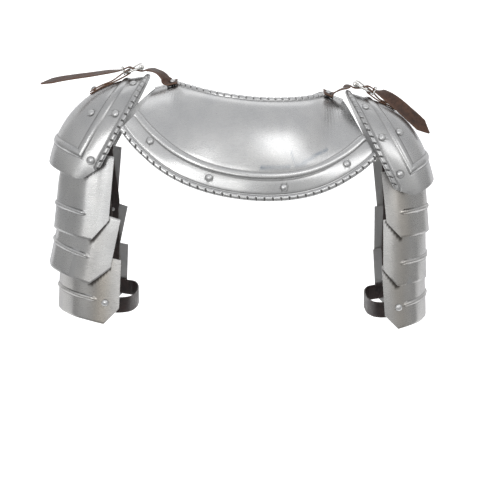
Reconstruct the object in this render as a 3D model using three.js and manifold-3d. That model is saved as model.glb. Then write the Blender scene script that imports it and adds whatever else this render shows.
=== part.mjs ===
// Steel neck collar with a laminated shoulder defence buckled on at each side.
// Millimetres. +Z is up, +Y is the wearer's front, +X is the wearer's right.
// The origin is the middle of the neck opening at the height of the collar's crests.
import * as THREE from 'three';
import Module from 'manifold-3d';

const wasm = await Module();
wasm.setup();

// Stock sizes
const plateThick = 1.2;      // 18 gauge steel
const leatherThick = 2;
const clear = 0.3;           // gap kept between neighbouring pieces
const half = plateThick / 2;

// Rivets
const rivetHead = 5.2;       // radius of the domed head
const rivetRise = 3;         // height of the dome
const rivetShank = 2;
const rivetPeen = 3;         // radius of the hammered end inside
const hiddenHead = 4;        // radius and height of a flat head that lies under another plate
const flatRise = 1;
const smallHead = 4.2;       // radius of the heads on the straps
const rivetSeat = 0.5;       // gap under a head and a hammered end

// Roped edges and raised beads
const ropeWide = 8;          // width of the rolled edge
const ropeHigh = 3.2;        // height of the roll over the plate's middle surface
const ropeNotch = 1.8;       // depth of the file cuts across the roll
const rimPitch = 11.5;       // spacing of the cuts on the collar
const copPitch = 10;         // spacing of the cuts on the shoulder cops
const beadWide = 11;
const beadHigh = 2.4;
const ribWide = 7;
const ribHigh = 2.2;

// Leather widths
const strapWide = 19;
const chapeWide = 19;
const leatherWide = 16;      // the hidden strips that carry the lames
const bandWide = 22;

// Collar, as it sits rolled to one side on the wearer
const collar = {
  neckX: 101.5, neckY: 58, neckDrop: 11, throatDrop: 34, neckLevel: 6.2,
  crestS: 0.68, cornerX: 133, cornerDrop: 9.6,
  rimX: 178, rimY: 122, sideY: 88, rimDrop: 145.4, rimCurve: 43, rimCurve4: 31.2,
  pull: 45, pullEnd: 31, drop: 0.25, dropEnd: 0.15, fan: 0.35, fanEnd: 0.15,
  upMid: 60, upEnd: 26, tuck: 23.5,
  beadInset: 33.5, roll: 6.6, yaw: 4, x: 0.8, z: -0.8,
};

// Ears of the front plate lap over the back plate beside the neck
const ear = { s: 0.765, halfS: 0.07, reach: 0.15, lift: 2.6, rivetS: 0.735, rivetT: 0.06 };

// Shoulder cops. The ridge is a Bezier curve from the roped edge to the hem and the foot
// is the straight cut edge at back and front, both as x outwards and z.
const cops = {
  left: { side: -1, ridge: [[141, 15.6], [217.5, 10.4], [269.6, -30.1], [284.1, -102.3]],
    foot: [[205.3, -103.8], [233.8, -122.5]] },
  right: { side: 1, ridge: [[135.7, -6.4], [181.5, -21.5], [235.7, -22.4], [260.3, -126.2]],
    foot: [[197.6, -134.2], [225.8, -144]] },
};
const copDeep = [88, 86];    // half depth at the roped edge and at the hem
const copPower = 2.3;        // squareness of the arch
const copBeadInset = 34;

// Lames. x is the inner edge, out and high are the size, rise lifts the outer side,
// top is the share of the height added above under the plate over it.
const lameDeep = 70;
const lameFlare = 7;
const lamePower = 2.6;
const lameTuck = 4.5;        // the top is drawn in so that it nests under the plate above
const lameTuckTo = 0.4;      // share of the height over which it is drawn in
const lames = [
  { side: 'left', n: 1, x: 189.9, z: -111.7, out: 79, flare: 2.4, high: 100.8, lean: 5.3, rise: 9.3,
    top: 0.2, cut: 73.4, cutS: 0.68, rib: 0.653, ribEnd: 65 },
  { side: 'left', n: 2, x: 180.1, z: -179.4, out: 89.3, flare: 0.5, high: 99.5, lean: 12.3, rise: 8.7,
    top: 0, cut: 72.1, cutS: 0.7, rib: 0.639, ribEnd: 64.6 },
  { side: 'left', n: 3, x: 180.1, z: -236.4, out: 90.7, flare: 0.2, high: 94.3, lean: 2.7, rise: 14.6,
    top: 0, cut: 74.5, cutS: 0.721, rib: 0.661, ribEnd: 64.7 },
  { side: 'right', n: 1, x: 181.7, z: -112.4, out: 65.3, flare: -1.7, high: 93.1, lean: 6.3, rise: -2.2,
    top: 0, cut: 76.6, cutS: 0.757, rib: 0.622, ribEnd: 73.6 },
  { side: 'right', n: 2, x: 185.3, z: -179.5, out: 65.3, flare: 2.7, high: 94.9, lean: 0.5, rise: 7.4,
    top: 0, cut: 75.1, cutS: 0.738, rib: 0.668, ribEnd: 70.9 },
  { side: 'right', n: 3, x: 183.9, z: -244.3, out: 66.8, flare: -3, high: 93.6, lean: 4.1, rise: 10.5,
    top: 0, cut: 76.9, cutS: 0.754, rib: 0.667, ribEnd: 68 },
];

// Rivets of the cops, s from the roped edge to the hem and angle from the ridge
const copRivets = {
  left: { border: [[0.088, -16], [0.138, -43], [0.425, -79], [0.138, 43], [0.425, 79]], field: [0.4, 38] },
  right: {
    border: [[0.144, -21], [0.213, -45], [0.413, -74], [0.213, 45], [0.413, 74]],
    field: [0.488, 38],
  },
};
const collarRivets = [[-0.8, 22], [-0.288, 20], [0.288, 18], [0.8, 20]];   // s and inset from the rim

// Where the hidden leathers are riveted to the lames, as a distance out from the inner edge
const carrierOut = 21;
const carrierBelow = 10;     // distance of a hidden rivet below the lame's top edge
const carrierEnd = 0.68;     // share of the height at which the leather ends on the lowest lame
const carrierSlack = 1.6;    // the leather lies this far inside the plates' hollow
const carrierNod = 1.5;      // and this much further in at a lame's top edge

// Neck straps in the x, z plane. The bar holds the chape and the roller leads the strap under.
const straps = {
  left: {
    bar: [172, 21.7], roller: [153.3, 28.4],
    root: [[119, 13.5, -13, 0], [126, 20.5, -9.5, 0], [135.5, 24.3, -5, 0]],
    tail: [[200, 22, 0, 11], [226.4, 18, -1, 15], [268.9, 12, -3, 18], [296, 5.5, -4, 18]],
    chape: [0.25, 0.43], chapeRivet: 0.39,
  },
  right: {
    bar: [169, -5.6], roller: [150, 4.5],
    root: [[121.5, -6.4, -1, 0], [128, -3.2, -1.5, 0], [134, -1.2, -1.5, 0]],
    tail: [[183, -5, -4, 20], [195, -12.3, -11, 46], [209, -23.4, -15.5, 60], [230, -41.3, -16.5, 68],
      [254, -63.5, -15, 68]],
    chape: [0.33, 0.5], chapeRivet: 0.47,
  },
};
const tipLong = 17;          // the tail's end narrows to a point over this length
const tipBlunt = 0.16;       // share of the width left at the point

// Buckle
const wire = 1.5;            // radius of the frame's wire
const rollerRadius = 3.8;
const tongueRadius = 1.1;
const frameHalf = 12.2;      // half width between the wires' middles
const foldRadius = wire + clear + leatherThick / 2;
const strapOver = foldRadius + leatherThick + 1.4;
const strapUnder = rollerRadius + 2.4 * clear + leatherThick / 2;
const keeperWire = 0.9;
const keeperAt = [-5.6, -1.3];   // its lower bar, between the two layers of the chape

// Finishes
const steel = { color: 0xb9bcbf, roughness: 0.32, metalness: 1 };
const plainSteel = { color: 0xa4a7aa, roughness: 0.4, metalness: 1 };
const brightSteel = { color: 0xcfd1d2, roughness: 0.2, metalness: 1 };
const brownLeather = { color: 0x50352b, roughness: 0.62, metalness: 0 };
const darkLeather = { color: 0x2a1f1c, roughness: 0.66, metalness: 0 };

const part = new THREE.Group();
const vec = (x, y, z) => new THREE.Vector3(x, y, z);
const rad = THREE.MathUtils.degToRad;
const smooth = THREE.MathUtils.smoothstep;
const sides = { left: -1, right: 1 };

// Surfaces

const superRadius = (angle, wide, deep, power) =>
  (Math.abs(Math.cos(angle) / wide) ** power + Math.abs(Math.sin(angle) / deep) ** power) ** (-1 / power);

function bezier(points, t) {
  const u = 1 - t;
  const weights = [u ** 3, 3 * u * u * t, 3 * u * t * t, t ** 3];
  return points[0].map((_, axis) => points.reduce((sum, p, i) => sum + p[axis] * weights[i], 0));
}

// Collar plate at s across (-1 to 1) and t from the neck and shoulder line to the rim.
// way is -1 for the back plate and 1 for the front plate.
function collarPoint(s, t, way) {
  const c = collar;
  const a = Math.abs(s);
  const sign = Math.sign(s);
  const turn = Math.min(a / c.crestS, 1) * Math.PI / 2;
  const along = Math.max((a - c.crestS) / (1 - c.crestS), 0);
  const neckDrop = way < 0 ? c.neckDrop : c.throatDrop;
  const edge = [
    sign * (c.neckX * Math.sin(turn) + (c.cornerX - c.neckX) * along),
    c.neckY * Math.cos(turn),
    c.neckLevel * s - neckDrop * Math.cos(turn) ** 2 - c.cornerDrop * along,
  ];
  const rim = [
    c.rimX * s,
    c.rimY - (c.rimY - c.sideY) * s * s,
    -c.rimDrop + c.rimCurve * s * s + c.rimCurve4 * s ** 4,
  ];
  const pull = c.pull + (c.pullEnd - c.pull) * a * a;
  const leave = [
    edge[0] + pull * sign * (c.fan * Math.sin(Math.PI * a) + c.fanEnd * a * a),
    edge[1] + pull,
    edge[2] - pull * (c.drop + (c.dropEnd - c.drop) * a * a),
  ];
  const arrive = [rim[0] - c.tuck * s * a, rim[1], rim[2] + c.upMid + (c.upEnd - c.upMid) * a * a];
  const [x, y, z] = bezier([edge, leave, arrive, rim], t);
  const p = vec(x, way * y, z);
  p.applyAxisAngle(vec(0, 1, 0), rad(c.roll));
  p.applyAxisAngle(vec(0, 0, 1), rad(c.yaw));
  return p.add(vec(c.x, 0, c.z));
}

// Shoulder cop at s from the roped edge to the hem and an angle from the ridge, front positive
function copPoint(side, s, angle) {
  const cop = cops[side];
  const ridge = bezier(cop.ridge, s);
  const foot = cop.foot[0].map((v, i) => v + (cop.foot[1][i] - v) * s);
  const span = Math.hypot(ridge[0] - foot[0], ridge[1] - foot[1]);
  const deep = copDeep[0] + (copDeep[1] - copDeep[0]) * s;
  const r = superRadius(rad(angle), span, deep, copPower);
  const w = r * Math.cos(rad(angle)) / span;
  const [x, z] = foot.map((v, i) => v + (ridge[i] - v) * w);
  return vec(cop.side * x, r * Math.sin(rad(angle)), z);
}

// Lame at s from its nominal top to the hem and an angle from the outside, front positive
function lameWide(lame, s) {
  return lame.out + lame.flare * s - lameTuck * Math.max(1 - s / lameTuckTo, 0) ** 2;
}

function lamePoint(lame, s, angle) {
  const wide = lameWide(lame, s);
  const deep = lameDeep + lameFlare * s;
  const r = superRadius(rad(angle), wide, deep, lamePower);
  const out = r * Math.cos(rad(angle));
  const z = -lame.high * s + lame.rise * out / wide;
  const lean = rad(lame.lean);
  const x = lame.x + out * Math.cos(lean) - z * Math.sin(lean);
  const level = lame.z + out * Math.sin(lean) + z * Math.cos(lean);
  return vec(sides[lame.side] * x, r * Math.sin(rad(angle)), level);
}

// The angle at which a lame lies a given distance out from its inner edge, on the front
function lameAngle(lame, s, out) {
  const wide = lameWide(lame, s);
  const y = (lameDeep + lameFlare * s) * (1 - (out / wide) ** lamePower) ** (1 / lamePower);
  return THREE.MathUtils.radToDeg(Math.atan2(y, out));
}

// Unit normal of a surface of two numbers, turned to the side that away says
function normalAt(surface, u, v, away) {
  const step = [0.004, 0.2];
  const du = surface(u + step[0], v).sub(surface(u - step[0], v));
  const dv = surface(u, v + step[1] * away.scale).sub(surface(u, v - step[1] * away.scale));
  const n = du.cross(dv).normalize();
  return n.dot(surface(u, v).sub(away.from)) < 0 ? n.negate() : n;
}

// Meshes

function meshOf(name, geometry, finish) {
  const mesh = new THREE.Mesh(geometry, new THREE.MeshStandardMaterial(finish));
  mesh.name = name;
  part.add(mesh);
  return mesh;
}

// Closed geometry from shared points and triangles, turned so that its faces point out
function closed(points, triangles) {
  let volume = 0;
  for (const [a, b, c] of triangles) {
    volume += points[a].dot(vec().crossVectors(points[b], points[c]));
  }
  const index = triangles.flatMap(([a, b, c]) => (volume < 0 ? [a, c, b] : [a, b, c]));
  const geometry = new THREE.BufferGeometry();
  geometry.setAttribute('position', new THREE.Float32BufferAttribute(points.flatMap((p) => p.toArray()), 3));
  geometry.setIndex(index);
  return geometry;
}

// Closed skin through rows of points. Each row is a list of { v, p } with v rising from 0 to 1,
// and rows may differ in count. The rows run over the outer face and back under the inner one.
function skin(rows) {
  const points = [];
  const triangles = [];
  const index = rows.map((row) => row.map(({ v, p }) => ({ v, i: points.push(p) - 1 })));
  const count = rows.length;
  index.forEach((a, k) => {
    const b = index[(k + 1) % count];
    let i = 0;
    let j = 0;
    while (i < a.length - 1 || j < b.length - 1) {
      const stepA = j === b.length - 1 || (i < a.length - 1 && a[i + 1].v <= b[j + 1].v + 1e-9);
      triangles.push(stepA ? [a[i].i, a[i + 1].i, b[j].i] : [a[i].i, b[j + 1].i, b[j].i]);
      if (stepA) i += 1;
      else j += 1;
    }
  });
  for (const [end, flip] of [[0, false], [-1, true]]) {
    const rim = index.map((row) => row.at(end).i);
    for (let k = 0; k < count / 2 - 1; k += 1) {
      const quad = [rim[k], rim[k + 1], rim[count - 2 - k], rim[count - 1 - k]];
      for (const t of [[quad[0], quad[1], quad[3]], [quad[1], quad[2], quad[3]]]) {
        triangles.push(flip ? [t[0], t[2], t[1]] : t);
      }
    }
  }
  return closed(points, triangles);
}

// Plate over a surface. Each row gives the place s(v), the columns and the height of each face.
function plate(surface, normal, rows) {
  const face = (row, columns, height) => columns.map((v, i) => {
    const s = row.s(v);
    return { v: (v - columns[0]) / (columns.at(-1) - columns[0]),
      p: surface(s, v).addScaledVector(normal(s, v), height(v, i)) };
  });
  const outer = rows.map((row) => face(row, row.fine ?? row.columns, row.outer));
  const inner = rows.map((row) => face(row, row.columns, row.inner));
  return skin([...outer, ...inner.reverse()]);
}

// Strip of leather along stations of { p, n }, n being the normal of its face. Its end may
// narrow to a blunt point over the length tip.
function strip(stations, wide, thick, tip = 0) {
  const rows = [[], [], [], []];
  const last = stations.length - 1;
  stations.forEach(({ p, n }, k) => {
    const along = stations[Math.min(k + 1, last)].p.clone().sub(stations[Math.max(k - 1, 0)].p).normalize();
    const across = vec().crossVectors(n, along).normalize();
    const up = vec().crossVectors(along, across);
    const left = stations[last].p.distanceTo(p);
    const share = left < tip ? tipBlunt + (1 - tipBlunt) * left / tip : 1;
    [[1, 1], [-1, 1], [-1, -1], [1, -1]].forEach(([a, b], i) => {
      rows[i].push({ v: k / last, p: p.clone().addScaledVector(across, a * share * wide / 2)
        .addScaledVector(up, b * thick / 2) });
    });
  });
  return skin(rows);
}

// Smooth stations through a few hand-set ones, each of which is kept, about a step apart
function smoothStations(stations, step) {
  const curve = new THREE.CatmullRomCurve3(stations.map((q) => q.p), false, 'centripetal');
  const spans = stations.length - 1;
  const route = [];
  for (let i = 0; i < spans; i += 1) {
    const count = Math.max(1, Math.round(stations[i].p.distanceTo(stations[i + 1].p) / step));
    for (let k = 0; k < count; k += 1) {
      const n = stations[i].n.clone().lerp(stations[i + 1].n, k / count).normalize();
      route.push({ p: curve.getPoint((i + k / count) / spans), n });
    }
  }
  return [...route, stations.at(-1)];
}

// Round wire through points in a plane of normal n, closed on itself or with flat ends
function wireAlong(points, n, radius, facets, loop) {
  const count = points.length;
  const all = [];
  const triangles = [];
  points.forEach((p, k) => {
    const before = points[loop ? (k + count - 1) % count : Math.max(k - 1, 0)];
    const after = points[loop ? (k + 1) % count : Math.min(k + 1, count - 1)];
    const along = after.clone().sub(before).normalize();
    const side = vec().crossVectors(along, n).normalize();
    for (let j = 0; j < facets; j += 1) {
      const a = 2 * Math.PI * (j + 0.5) / facets;
      const across = p.clone().addScaledVector(side, radius * Math.cos(a));
      all.push(across.addScaledVector(n, radius * Math.sin(a)));
    }
  });
  for (let k = 0; k < (loop ? count : count - 1); k += 1) {
    for (let j = 0; j < facets; j += 1) {
      const a = k * facets + j;
      const b = k * facets + (j + 1) % facets;
      const c = ((k + 1) % count) * facets + j;
      const d = ((k + 1) % count) * facets + (j + 1) % facets;
      triangles.push([a, b, d], [a, d, c]);
    }
  }
  if (!loop) {
    for (let j = 1; j < facets - 1; j += 1) {
      const end = (count - 1) * facets;
      triangles.push([0, j + 1, j], [end, end + j, end + j + 1]);
    }
  }
  return closed(all, triangles);
}

// Booleans

function solidOf(geometry) {
  return new wasm.Manifold(new wasm.Mesh({
    numProp: 3,
    vertProperties: Float32Array.from(geometry.attributes.position.array),
    triVerts: Uint32Array.from(geometry.index.array),
  }));
}

function geometryOf(solid) {
  const { vertProperties, triVerts } = solid.getMesh();
  const geometry = new THREE.BufferGeometry();
  geometry.setAttribute('position', new THREE.BufferAttribute(vertProperties, 3));
  geometry.setIndex(new THREE.BufferAttribute(triVerts, 1));
  return geometry;
}

// Prism with a regular outline, from below to above along z
function prism(radius, facets, below, above) {
  const points = [];
  const triangles = [];
  for (let k = 0; k < facets; k += 1) {
    const a = 2 * Math.PI * k / facets;
    points.push(vec(radius * Math.cos(a), radius * Math.sin(a), below));
    points.push(vec(radius * Math.cos(a), radius * Math.sin(a), above));
    const [i, j] = [2 * k, 2 * ((k + 1) % facets)];
    triangles.push([i, j, j + 1], [i, j + 1, i + 1]);
    if (k > 1) triangles.push([0, i, i - 2], [1, i - 1, i + 1]);
  }
  return closed(points, triangles);
}

function block(sizeX, sizeY, sizeZ, centre) {
  const points = [];
  for (const x of [-0.5, 0.5]) {
    for (const y of [-0.5, 0.5]) {
      for (const z of [-0.5, 0.5]) points.push(vec(x * sizeX, y * sizeY, z * sizeZ).add(centre));
    }
  }
  const faces = [[0, 1, 3, 2], [4, 6, 7, 5], [0, 4, 5, 1], [2, 3, 7, 6], [0, 2, 6, 4], [1, 5, 7, 3]];
  return closed(points, faces.flatMap(([a, b, c, d]) => [[a, b, c], [a, c, d]]));
}

// Rivets. The dome stands on the outermost face of the pieces it joins, the shank goes
// through a hole in each of them and the hammered end closes it inside.
const rivets = [];
function addRivet(name, point, normal, through, head = rivetHead) {
  rivets.push({ name, point, normal, through, head });
}

// Distance along a direction from a point to the first face of some pieces that looks back
function firstFace(pieces, from, direction) {
  const ray = new THREE.Raycaster(from, direction);
  return ray.intersectObjects(pieces.map((name) => part.getObjectByName(name)), false)[0].distance;
}

function setRivets() {
  const look = 9;
  const holes = {};
  for (const { name, point, normal, through, head } of rivets) {
    const inward = normal.clone().negate();
    const outer = look - firstFace(through, point.clone().addScaledVector(normal, look), inward);
    const inner = look - firstFace(through, point.clone().addScaledVector(inward, look), normal);
    const top = outer + rivetSeat;
    const low = -inner - rivetSeat;
    const dome = [[0, top + rivetRise], [head * 0.68, top + rivetRise * 0.7]];
    const crown = head === hiddenHead ? [[0, top + flatRise]] : dome;
    const stem = [[head, top], [rivetShank, top], [rivetShank, low], [rivetPeen, low], [0, low - 1]];
    const profile = [...crown, ...stem];
    const outline = profile.map(([r, h]) => new THREE.Vector2(r, h)).reverse();
    const mesh = meshOf(name, new THREE.LatheGeometry(outline, head === hiddenHead ? 6 : 8), brightSteel);
    mesh.position.copy(point);
    mesh.quaternion.setFromUnitVectors(vec(0, 1, 0), normal);
    const turn = new THREE.Quaternion().setFromUnitVectors(vec(0, 0, 1), normal);
    const place = new THREE.Matrix4().compose(point, turn, vec(1, 1, 1));
    const cutter = prism(rivetShank + 2 * clear, 6, low - 2, top + 2).applyMatrix4(place);
    for (const piece of through) (holes[piece] ??= []).push(cutter);
  }
  for (const [name, cutters] of Object.entries(holes)) {
    const mesh = part.getObjectByName(name);
    let solid = solidOf(mesh.geometry);
    for (const cutter of cutters) solid = solid.subtract(solidOf(cutter));
    mesh.geometry = geometryOf(solid);
  }
}

// Columns spaced evenly by length along a surface's edge
function evenColumns(surface, s, from, to, pitch) {
  const fine = Array.from({ length: 401 }, (_, k) => from + (to - from) * k / 400);
  const run = [0];
  for (let k = 1; k < fine.length; k += 1) {
    run.push(run[k - 1] + surface(s, fine[k]).distanceTo(surface(s, fine[k - 1])));
  }
  const count = 2 * Math.round(run.at(-1) / pitch);
  return Array.from({ length: count + 1 }, (_, k) => {
    const want = run.at(-1) * k / count;
    const i = Math.min(Math.max(run.findIndex((r) => r >= want), 1), 400);
    return fine[i - 1] + (fine[i] - fine[i - 1]) * (want - run[i - 1]) / (run[i] - run[i - 1]);
  });
}

// The place s on a column at a given distance from one edge line of the surface
function insetPlace(surface, v, edgeS, farS, inset, columns) {
  const edge = columns.map((c) => surface(edgeS, c));
  const steps = 60;
  let last = 0;
  for (let k = 1; k <= steps; k += 1) {
    const s = edgeS + (farS - edgeS) * k / steps;
    const p = surface(s, v);
    const far = Math.min(...edge.map((e) => e.distanceTo(p)));
    if (far >= inset) return edgeS + (farS - edgeS) * (k - (far - inset) / (far - last)) / steps;
    last = far;
  }
  return farS;
}

const flat = () => half;
const under = () => -half;

// Rows of a roped edge, from the edge inwards
function ropeRows(placeAt, columns, fine, strength) {
  const cut = (v, i) => half + strength(v) * (ropeHigh - ropeNotch * (i % 2));
  return [
    { s: placeAt(0), columns, outer: (v) => half + strength(v) * ropeHigh * 0.45, inner: under },
    { s: placeAt(ropeWide * 0.45), columns, fine, outer: cut, inner: under },
    { s: placeAt(ropeWide), columns, outer: flat, inner: under },
  ];
}

// Collar back plate, with roped neck and rim, a raised bead inside the rim and four rivets
function collarBack() {
  const surface = (t, s) => collarPoint(s, t, -1);
  const away = { from: vec(0, 0, -110), scale: 0.02 };
  const normal = (t, s) => normalAt(surface, t, s, away);
  const halfColumns = [0.125, 0.25, 0.38, 0.5, 0.6, 0.68, 0.735, 0.79, 0.85, 0.92, 1];
  const columns = [...halfColumns.map((s) => -s).reverse(), 0, ...halfColumns];
  const dense = Array.from({ length: 121 }, (_, k) => -1 + k / 60);
  const fromRim = (inset) => {
    const place = new Map(columns.map((s) => [s, insetPlace(surface, s, 1, 0, inset, dense)]));
    return (s) => place.get(s) ?? 1 - (1 - insetPlace(surface, s, 1, 0, inset, dense));
  };
  const fromNeck = (inset) => (s) => inset / surface(0.02, s).distanceTo(surface(0, s)) * 0.02;
  const neckRope = (s) => 1 - smooth(Math.abs(s), collar.crestS - 0.05, collar.crestS - 0.01);
  const neckFine = evenColumns(surface, 0, -collar.crestS, collar.crestS, copPitch);
  const neckColumns = [-1, -0.85, -0.735, ...neckFine, 0.735, 0.85, 1];
  const rimFine = evenColumns(surface, 1, -1, 1, rimPitch);
  const beadAt = fromRim(collar.beadInset);
  const between = (share) => (s) => THREE.MathUtils.lerp(fromNeck(ropeWide)(s), beadAt(s), share);
  const rows = [
    ...ropeRows(fromNeck, columns, neckColumns, neckRope),
    { s: between(0.28), columns, outer: flat, inner: under },
    { s: between(0.55), columns, outer: flat, inner: under },
    { s: fromRim(collar.beadInset + beadWide / 2), columns, outer: flat, inner: under },
    { s: beadAt, columns, outer: () => half + beadHigh, inner: () => beadHigh - half },
    { s: fromRim(collar.beadInset - beadWide / 2), columns, outer: flat, inner: under },
    ...ropeRows(fromRim, columns, rimFine, () => 1).reverse(),
  ];
  meshOf('collar_back', plate(surface, normal, rows), steel);
  collarRivets.forEach(([s, inset], i) => {
    const t = insetPlace(surface, s, 1, 0, inset, dense);
    addRivet(`collar_rivet_${i + 1}`, surface(t, s), normal(t, s), ['collar_back']);
  });
}

// Collar front plate, plain, whose ears lap over the back plate beside the neck
function collarFront() {
  const away = { from: vec(0, 0, -110), scale: 0.02 };
  const back = (t, s) => collarPoint(s, t, -1);
  const front = (t, s) => collarPoint(s, t, 1);
  const normal = (t, s) => normalAt(t < 0 ? back : front, Math.abs(t), s, away);
  const surface = (t, s) => {
    const lift = ear.lift * smooth(-t, -0.07, -0.005);
    const plain = t < 0 ? back(-t, s) : front(t, s);
    return plain.addScaledVector(normal(t, s), lift);
  };
  const earT = (s) => {
    const x = (Math.abs(s) - ear.s) / ear.halfS;
    return Math.abs(x) < 1 ? -ear.reach * Math.sqrt(1 - x * x) : 0;
  };
  const halfColumns = [0.2, 0.38, 0.54, 0.64, 0.69, 0.7, 0.735, 0.79, 0.82, 0.833, 0.84, 0.92, 1];
  const columns = [...halfColumns.map((s) => -s).reverse(), 0, ...halfColumns];
  const rows = [
    (s) => 0.015 + earT(s),
    (s) => 0.04 + earT(s) * 0.3,
    () => 0.2, () => 0.5, () => 0.75, () => 1,
  ].map((s) => ({ s, columns, outer: flat, inner: under }));
  meshOf('collar_front', plate(surface, normal, rows), plainSteel);
}

// Shoulder cop: a roped edge towards the neck, and a bead that runs round inside the border
function cop(side) {
  const surface = (s, angle) => copPoint(side, s, angle);
  const away = { from: vec(sides[side] * 190, 0, -110), scale: 1 };
  const normal = (s, angle) => normalAt(surface, s, Math.min(Math.max(angle, -89.5), 89.5), away);
  const halfColumns = [13, 26, 37, 47, 57, 66, 74, 80, 90];
  const columns = [...halfColumns.map((v) => -v).reverse(), 0, ...halfColumns];
  const dense = Array.from({ length: 91 }, (_, k) => -90 + 2 * k);
  const fine = evenColumns(surface, 0, -90, 90, copPitch);
  const length = (v) => {
    const middle = surface(0.5, v);
    return surface(0, v).distanceTo(middle) + middle.distanceTo(surface(1, v));
  };
  const ladder = new Map(columns.map((v) => {
    const first = insetPlace(surface, v, 0, 1, copBeadInset, dense);
    const second = insetPlace(surface, v, 1, 0, copBeadInset, dense);
    const halfStep = beadWide * 0.4 / length(v);
    const room = (second - first) / (2 * halfStep);
    if (room > 1.3) return [v, { first, second, halfStep, high: Math.min(1, (room - 1.3) * 1.5) }];
    const middle = THREE.MathUtils.clamp((first + second) / 2, 0.3, 0.7);
    const step = Math.min(halfStep, 0.1);
    return [v, { first: middle - 1.3 * step, second: middle + 1.3 * step, halfStep: step, high: 0 }];
  }));
  const fromRope = (inset) => (v) => inset / length(v);
  const at = (key, step) => (v) => ladder.get(v)[key] + step * ladder.get(v).halfStep;
  const share = (w) => (v) => THREE.MathUtils.lerp(at('first', 1)(v), at('second', -1)(v), w);
  const beadOut = (v) => half + beadHigh * ladder.get(v).high;
  const beadIn = (v) => beadHigh * ladder.get(v).high - half;
  const plain = (s) => ({ s, columns, outer: flat, inner: under });
  const rows = [
    ...ropeRows(fromRope, columns, fine, () => 1),
    plain(at('first', -1)),
    { s: at('first', 0), columns, outer: beadOut, inner: beadIn },
    plain(at('first', 1)),
    plain(share(0.25)),
    plain(share(0.5)),
    plain(share(0.75)),
    plain(at('second', -1)),
    { s: at('second', 0), columns, outer: beadOut, inner: beadIn },
    plain(at('second', 1)),
    plain(() => 1),
  ];
  meshOf(`cop_${side}`, plate(surface, normal, rows), steel);
  copRivets[side].border.forEach(([s, angle], i) => {
    addRivet(`cop_rivet_${side}_${i + 1}`, surface(s, angle), normal(s, angle), [`cop_${side}`]);
  });
}

// Share of the height to which a lame reaches at an angle: its back and front corners are cut off
function hemOf(lame, angle) {
  const over = Math.max(Math.abs(angle) - lame.cut, 0) / (90 - lame.cut);
  return 1 + (lame.cutS - 1) * over;
}

function lameNormal(lame, s, angle) {
  const away = { from: vec(sides[lame.side] * (lame.x + 25), 0, lame.z - 50), scale: 1 };
  return normalAt((a, b) => lamePoint(lame, a, b), s, angle, away);
}

function lameMesh(lame) {
  const cut = lame.cut;
  const ribColumns = [0.3, 0.56, 0.78, 1].map((share) => share * (lame.ribEnd - 1));
  const halfColumns = [...ribColumns, Math.min(lame.ribEnd + 2, cut - 1), cut, 90];
  const columns = [...halfColumns.map((v) => -v).reverse(), 0, ...halfColumns];
  const step = ribWide / 2 / lame.high;
  const ribOf = (v) => (Math.abs(v) < lame.ribEnd ? ribHigh : 0);
  const down = (share) => (v) => hemOf(lame, v) * share;
  const rows = [
    { s: () => -lame.top, columns, outer: flat, inner: under },
    { s: down(0.16 - lame.top / 2), columns, outer: flat, inner: under },
    { s: down(0.35), columns, outer: flat, inner: under },
    { s: down(lame.rib - step), columns, outer: flat, inner: under },
    { s: down(lame.rib), columns, outer: (v) => ribOf(v) + half, inner: (v) => ribOf(v) - half },
    { s: down(lame.rib + step), columns, outer: flat, inner: under },
    { s: (v) => hemOf(lame, v), columns, outer: flat, inner: under },
  ];
  const surface = (s, v) => lamePoint(lame, s, v);
  meshOf(`lame_${lame.side}_${lame.n}`, plate(surface, (s, v) => lameNormal(lame, s, v), rows), steel);
}

// Hidden leather that carries the lames of one arm from the cop, at the back or at the front.
// way is -1 at the back and 1 at the front.
function lameLeather(side, way) {
  const tag = `${side}_${way < 0 ? 'back' : 'front'}`;
  const name = `lame_leather_${tag}`;
  const [fieldS, fieldAngle] = copRivets[side].field;
  const surface = (s, angle) => copPoint(side, s, angle);
  const away = { from: vec(sides[side] * 190, 0, -110), scale: 1 };
  const copNormal = normalAt(surface, fieldS, way * fieldAngle, away);
  const copMiddle = surface(fieldS, way * fieldAngle);
  const depth = half + clear + carrierSlack + leatherThick / 2;
  addRivet(`cop_leather_rivet_${tag}`, copMiddle, copNormal, [`cop_${side}`, name]);
  const stations = [-5, 0, 5].map((step) => {
    const n = normalAt(surface, fieldS, way * (fieldAngle + step), away);
    return { p: surface(fieldS, way * (fieldAngle + step)).addScaledVector(n, -depth), n };
  });
  const onLame = (lame, s, out, inside = depth) => {
    const angle = way * lameAngle(lame, s, out);
    const n = lameNormal(lame, s, angle);
    const middle = lamePoint(lame, s, angle);
    stations.push({ p: middle.clone().addScaledVector(n, -inside), n });
    return { middle, n };
  };
  for (const lame of lames.filter((row) => row.side === side)) {
    const plateName = `lame_${side}_${lame.n}`;
    onLame(lame, -lame.top, carrierOut, depth + carrierNod);
    const top = onLame(lame, carrierBelow / lame.high - lame.top, carrierOut);
    if (lame.n < 3) {
      addRivet(`lame_rivet_${tag}_${lame.n}`, top.middle, top.n, [plateName, name], hiddenHead);
    } else {
      const low = onLame(lame, carrierEnd, carrierOut - 1);
      addRivet(`lame_rivet_${tag}_${lame.n}`, low.middle, low.n, [plateName, name, `arm_band_${side}`]);
      onLame(lame, carrierEnd + 0.1, carrierOut - 1);
    }
  }
  meshOf(name, strip(smoothStations(stations, 20), leatherWide, leatherThick), darkLeather);
}

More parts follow.
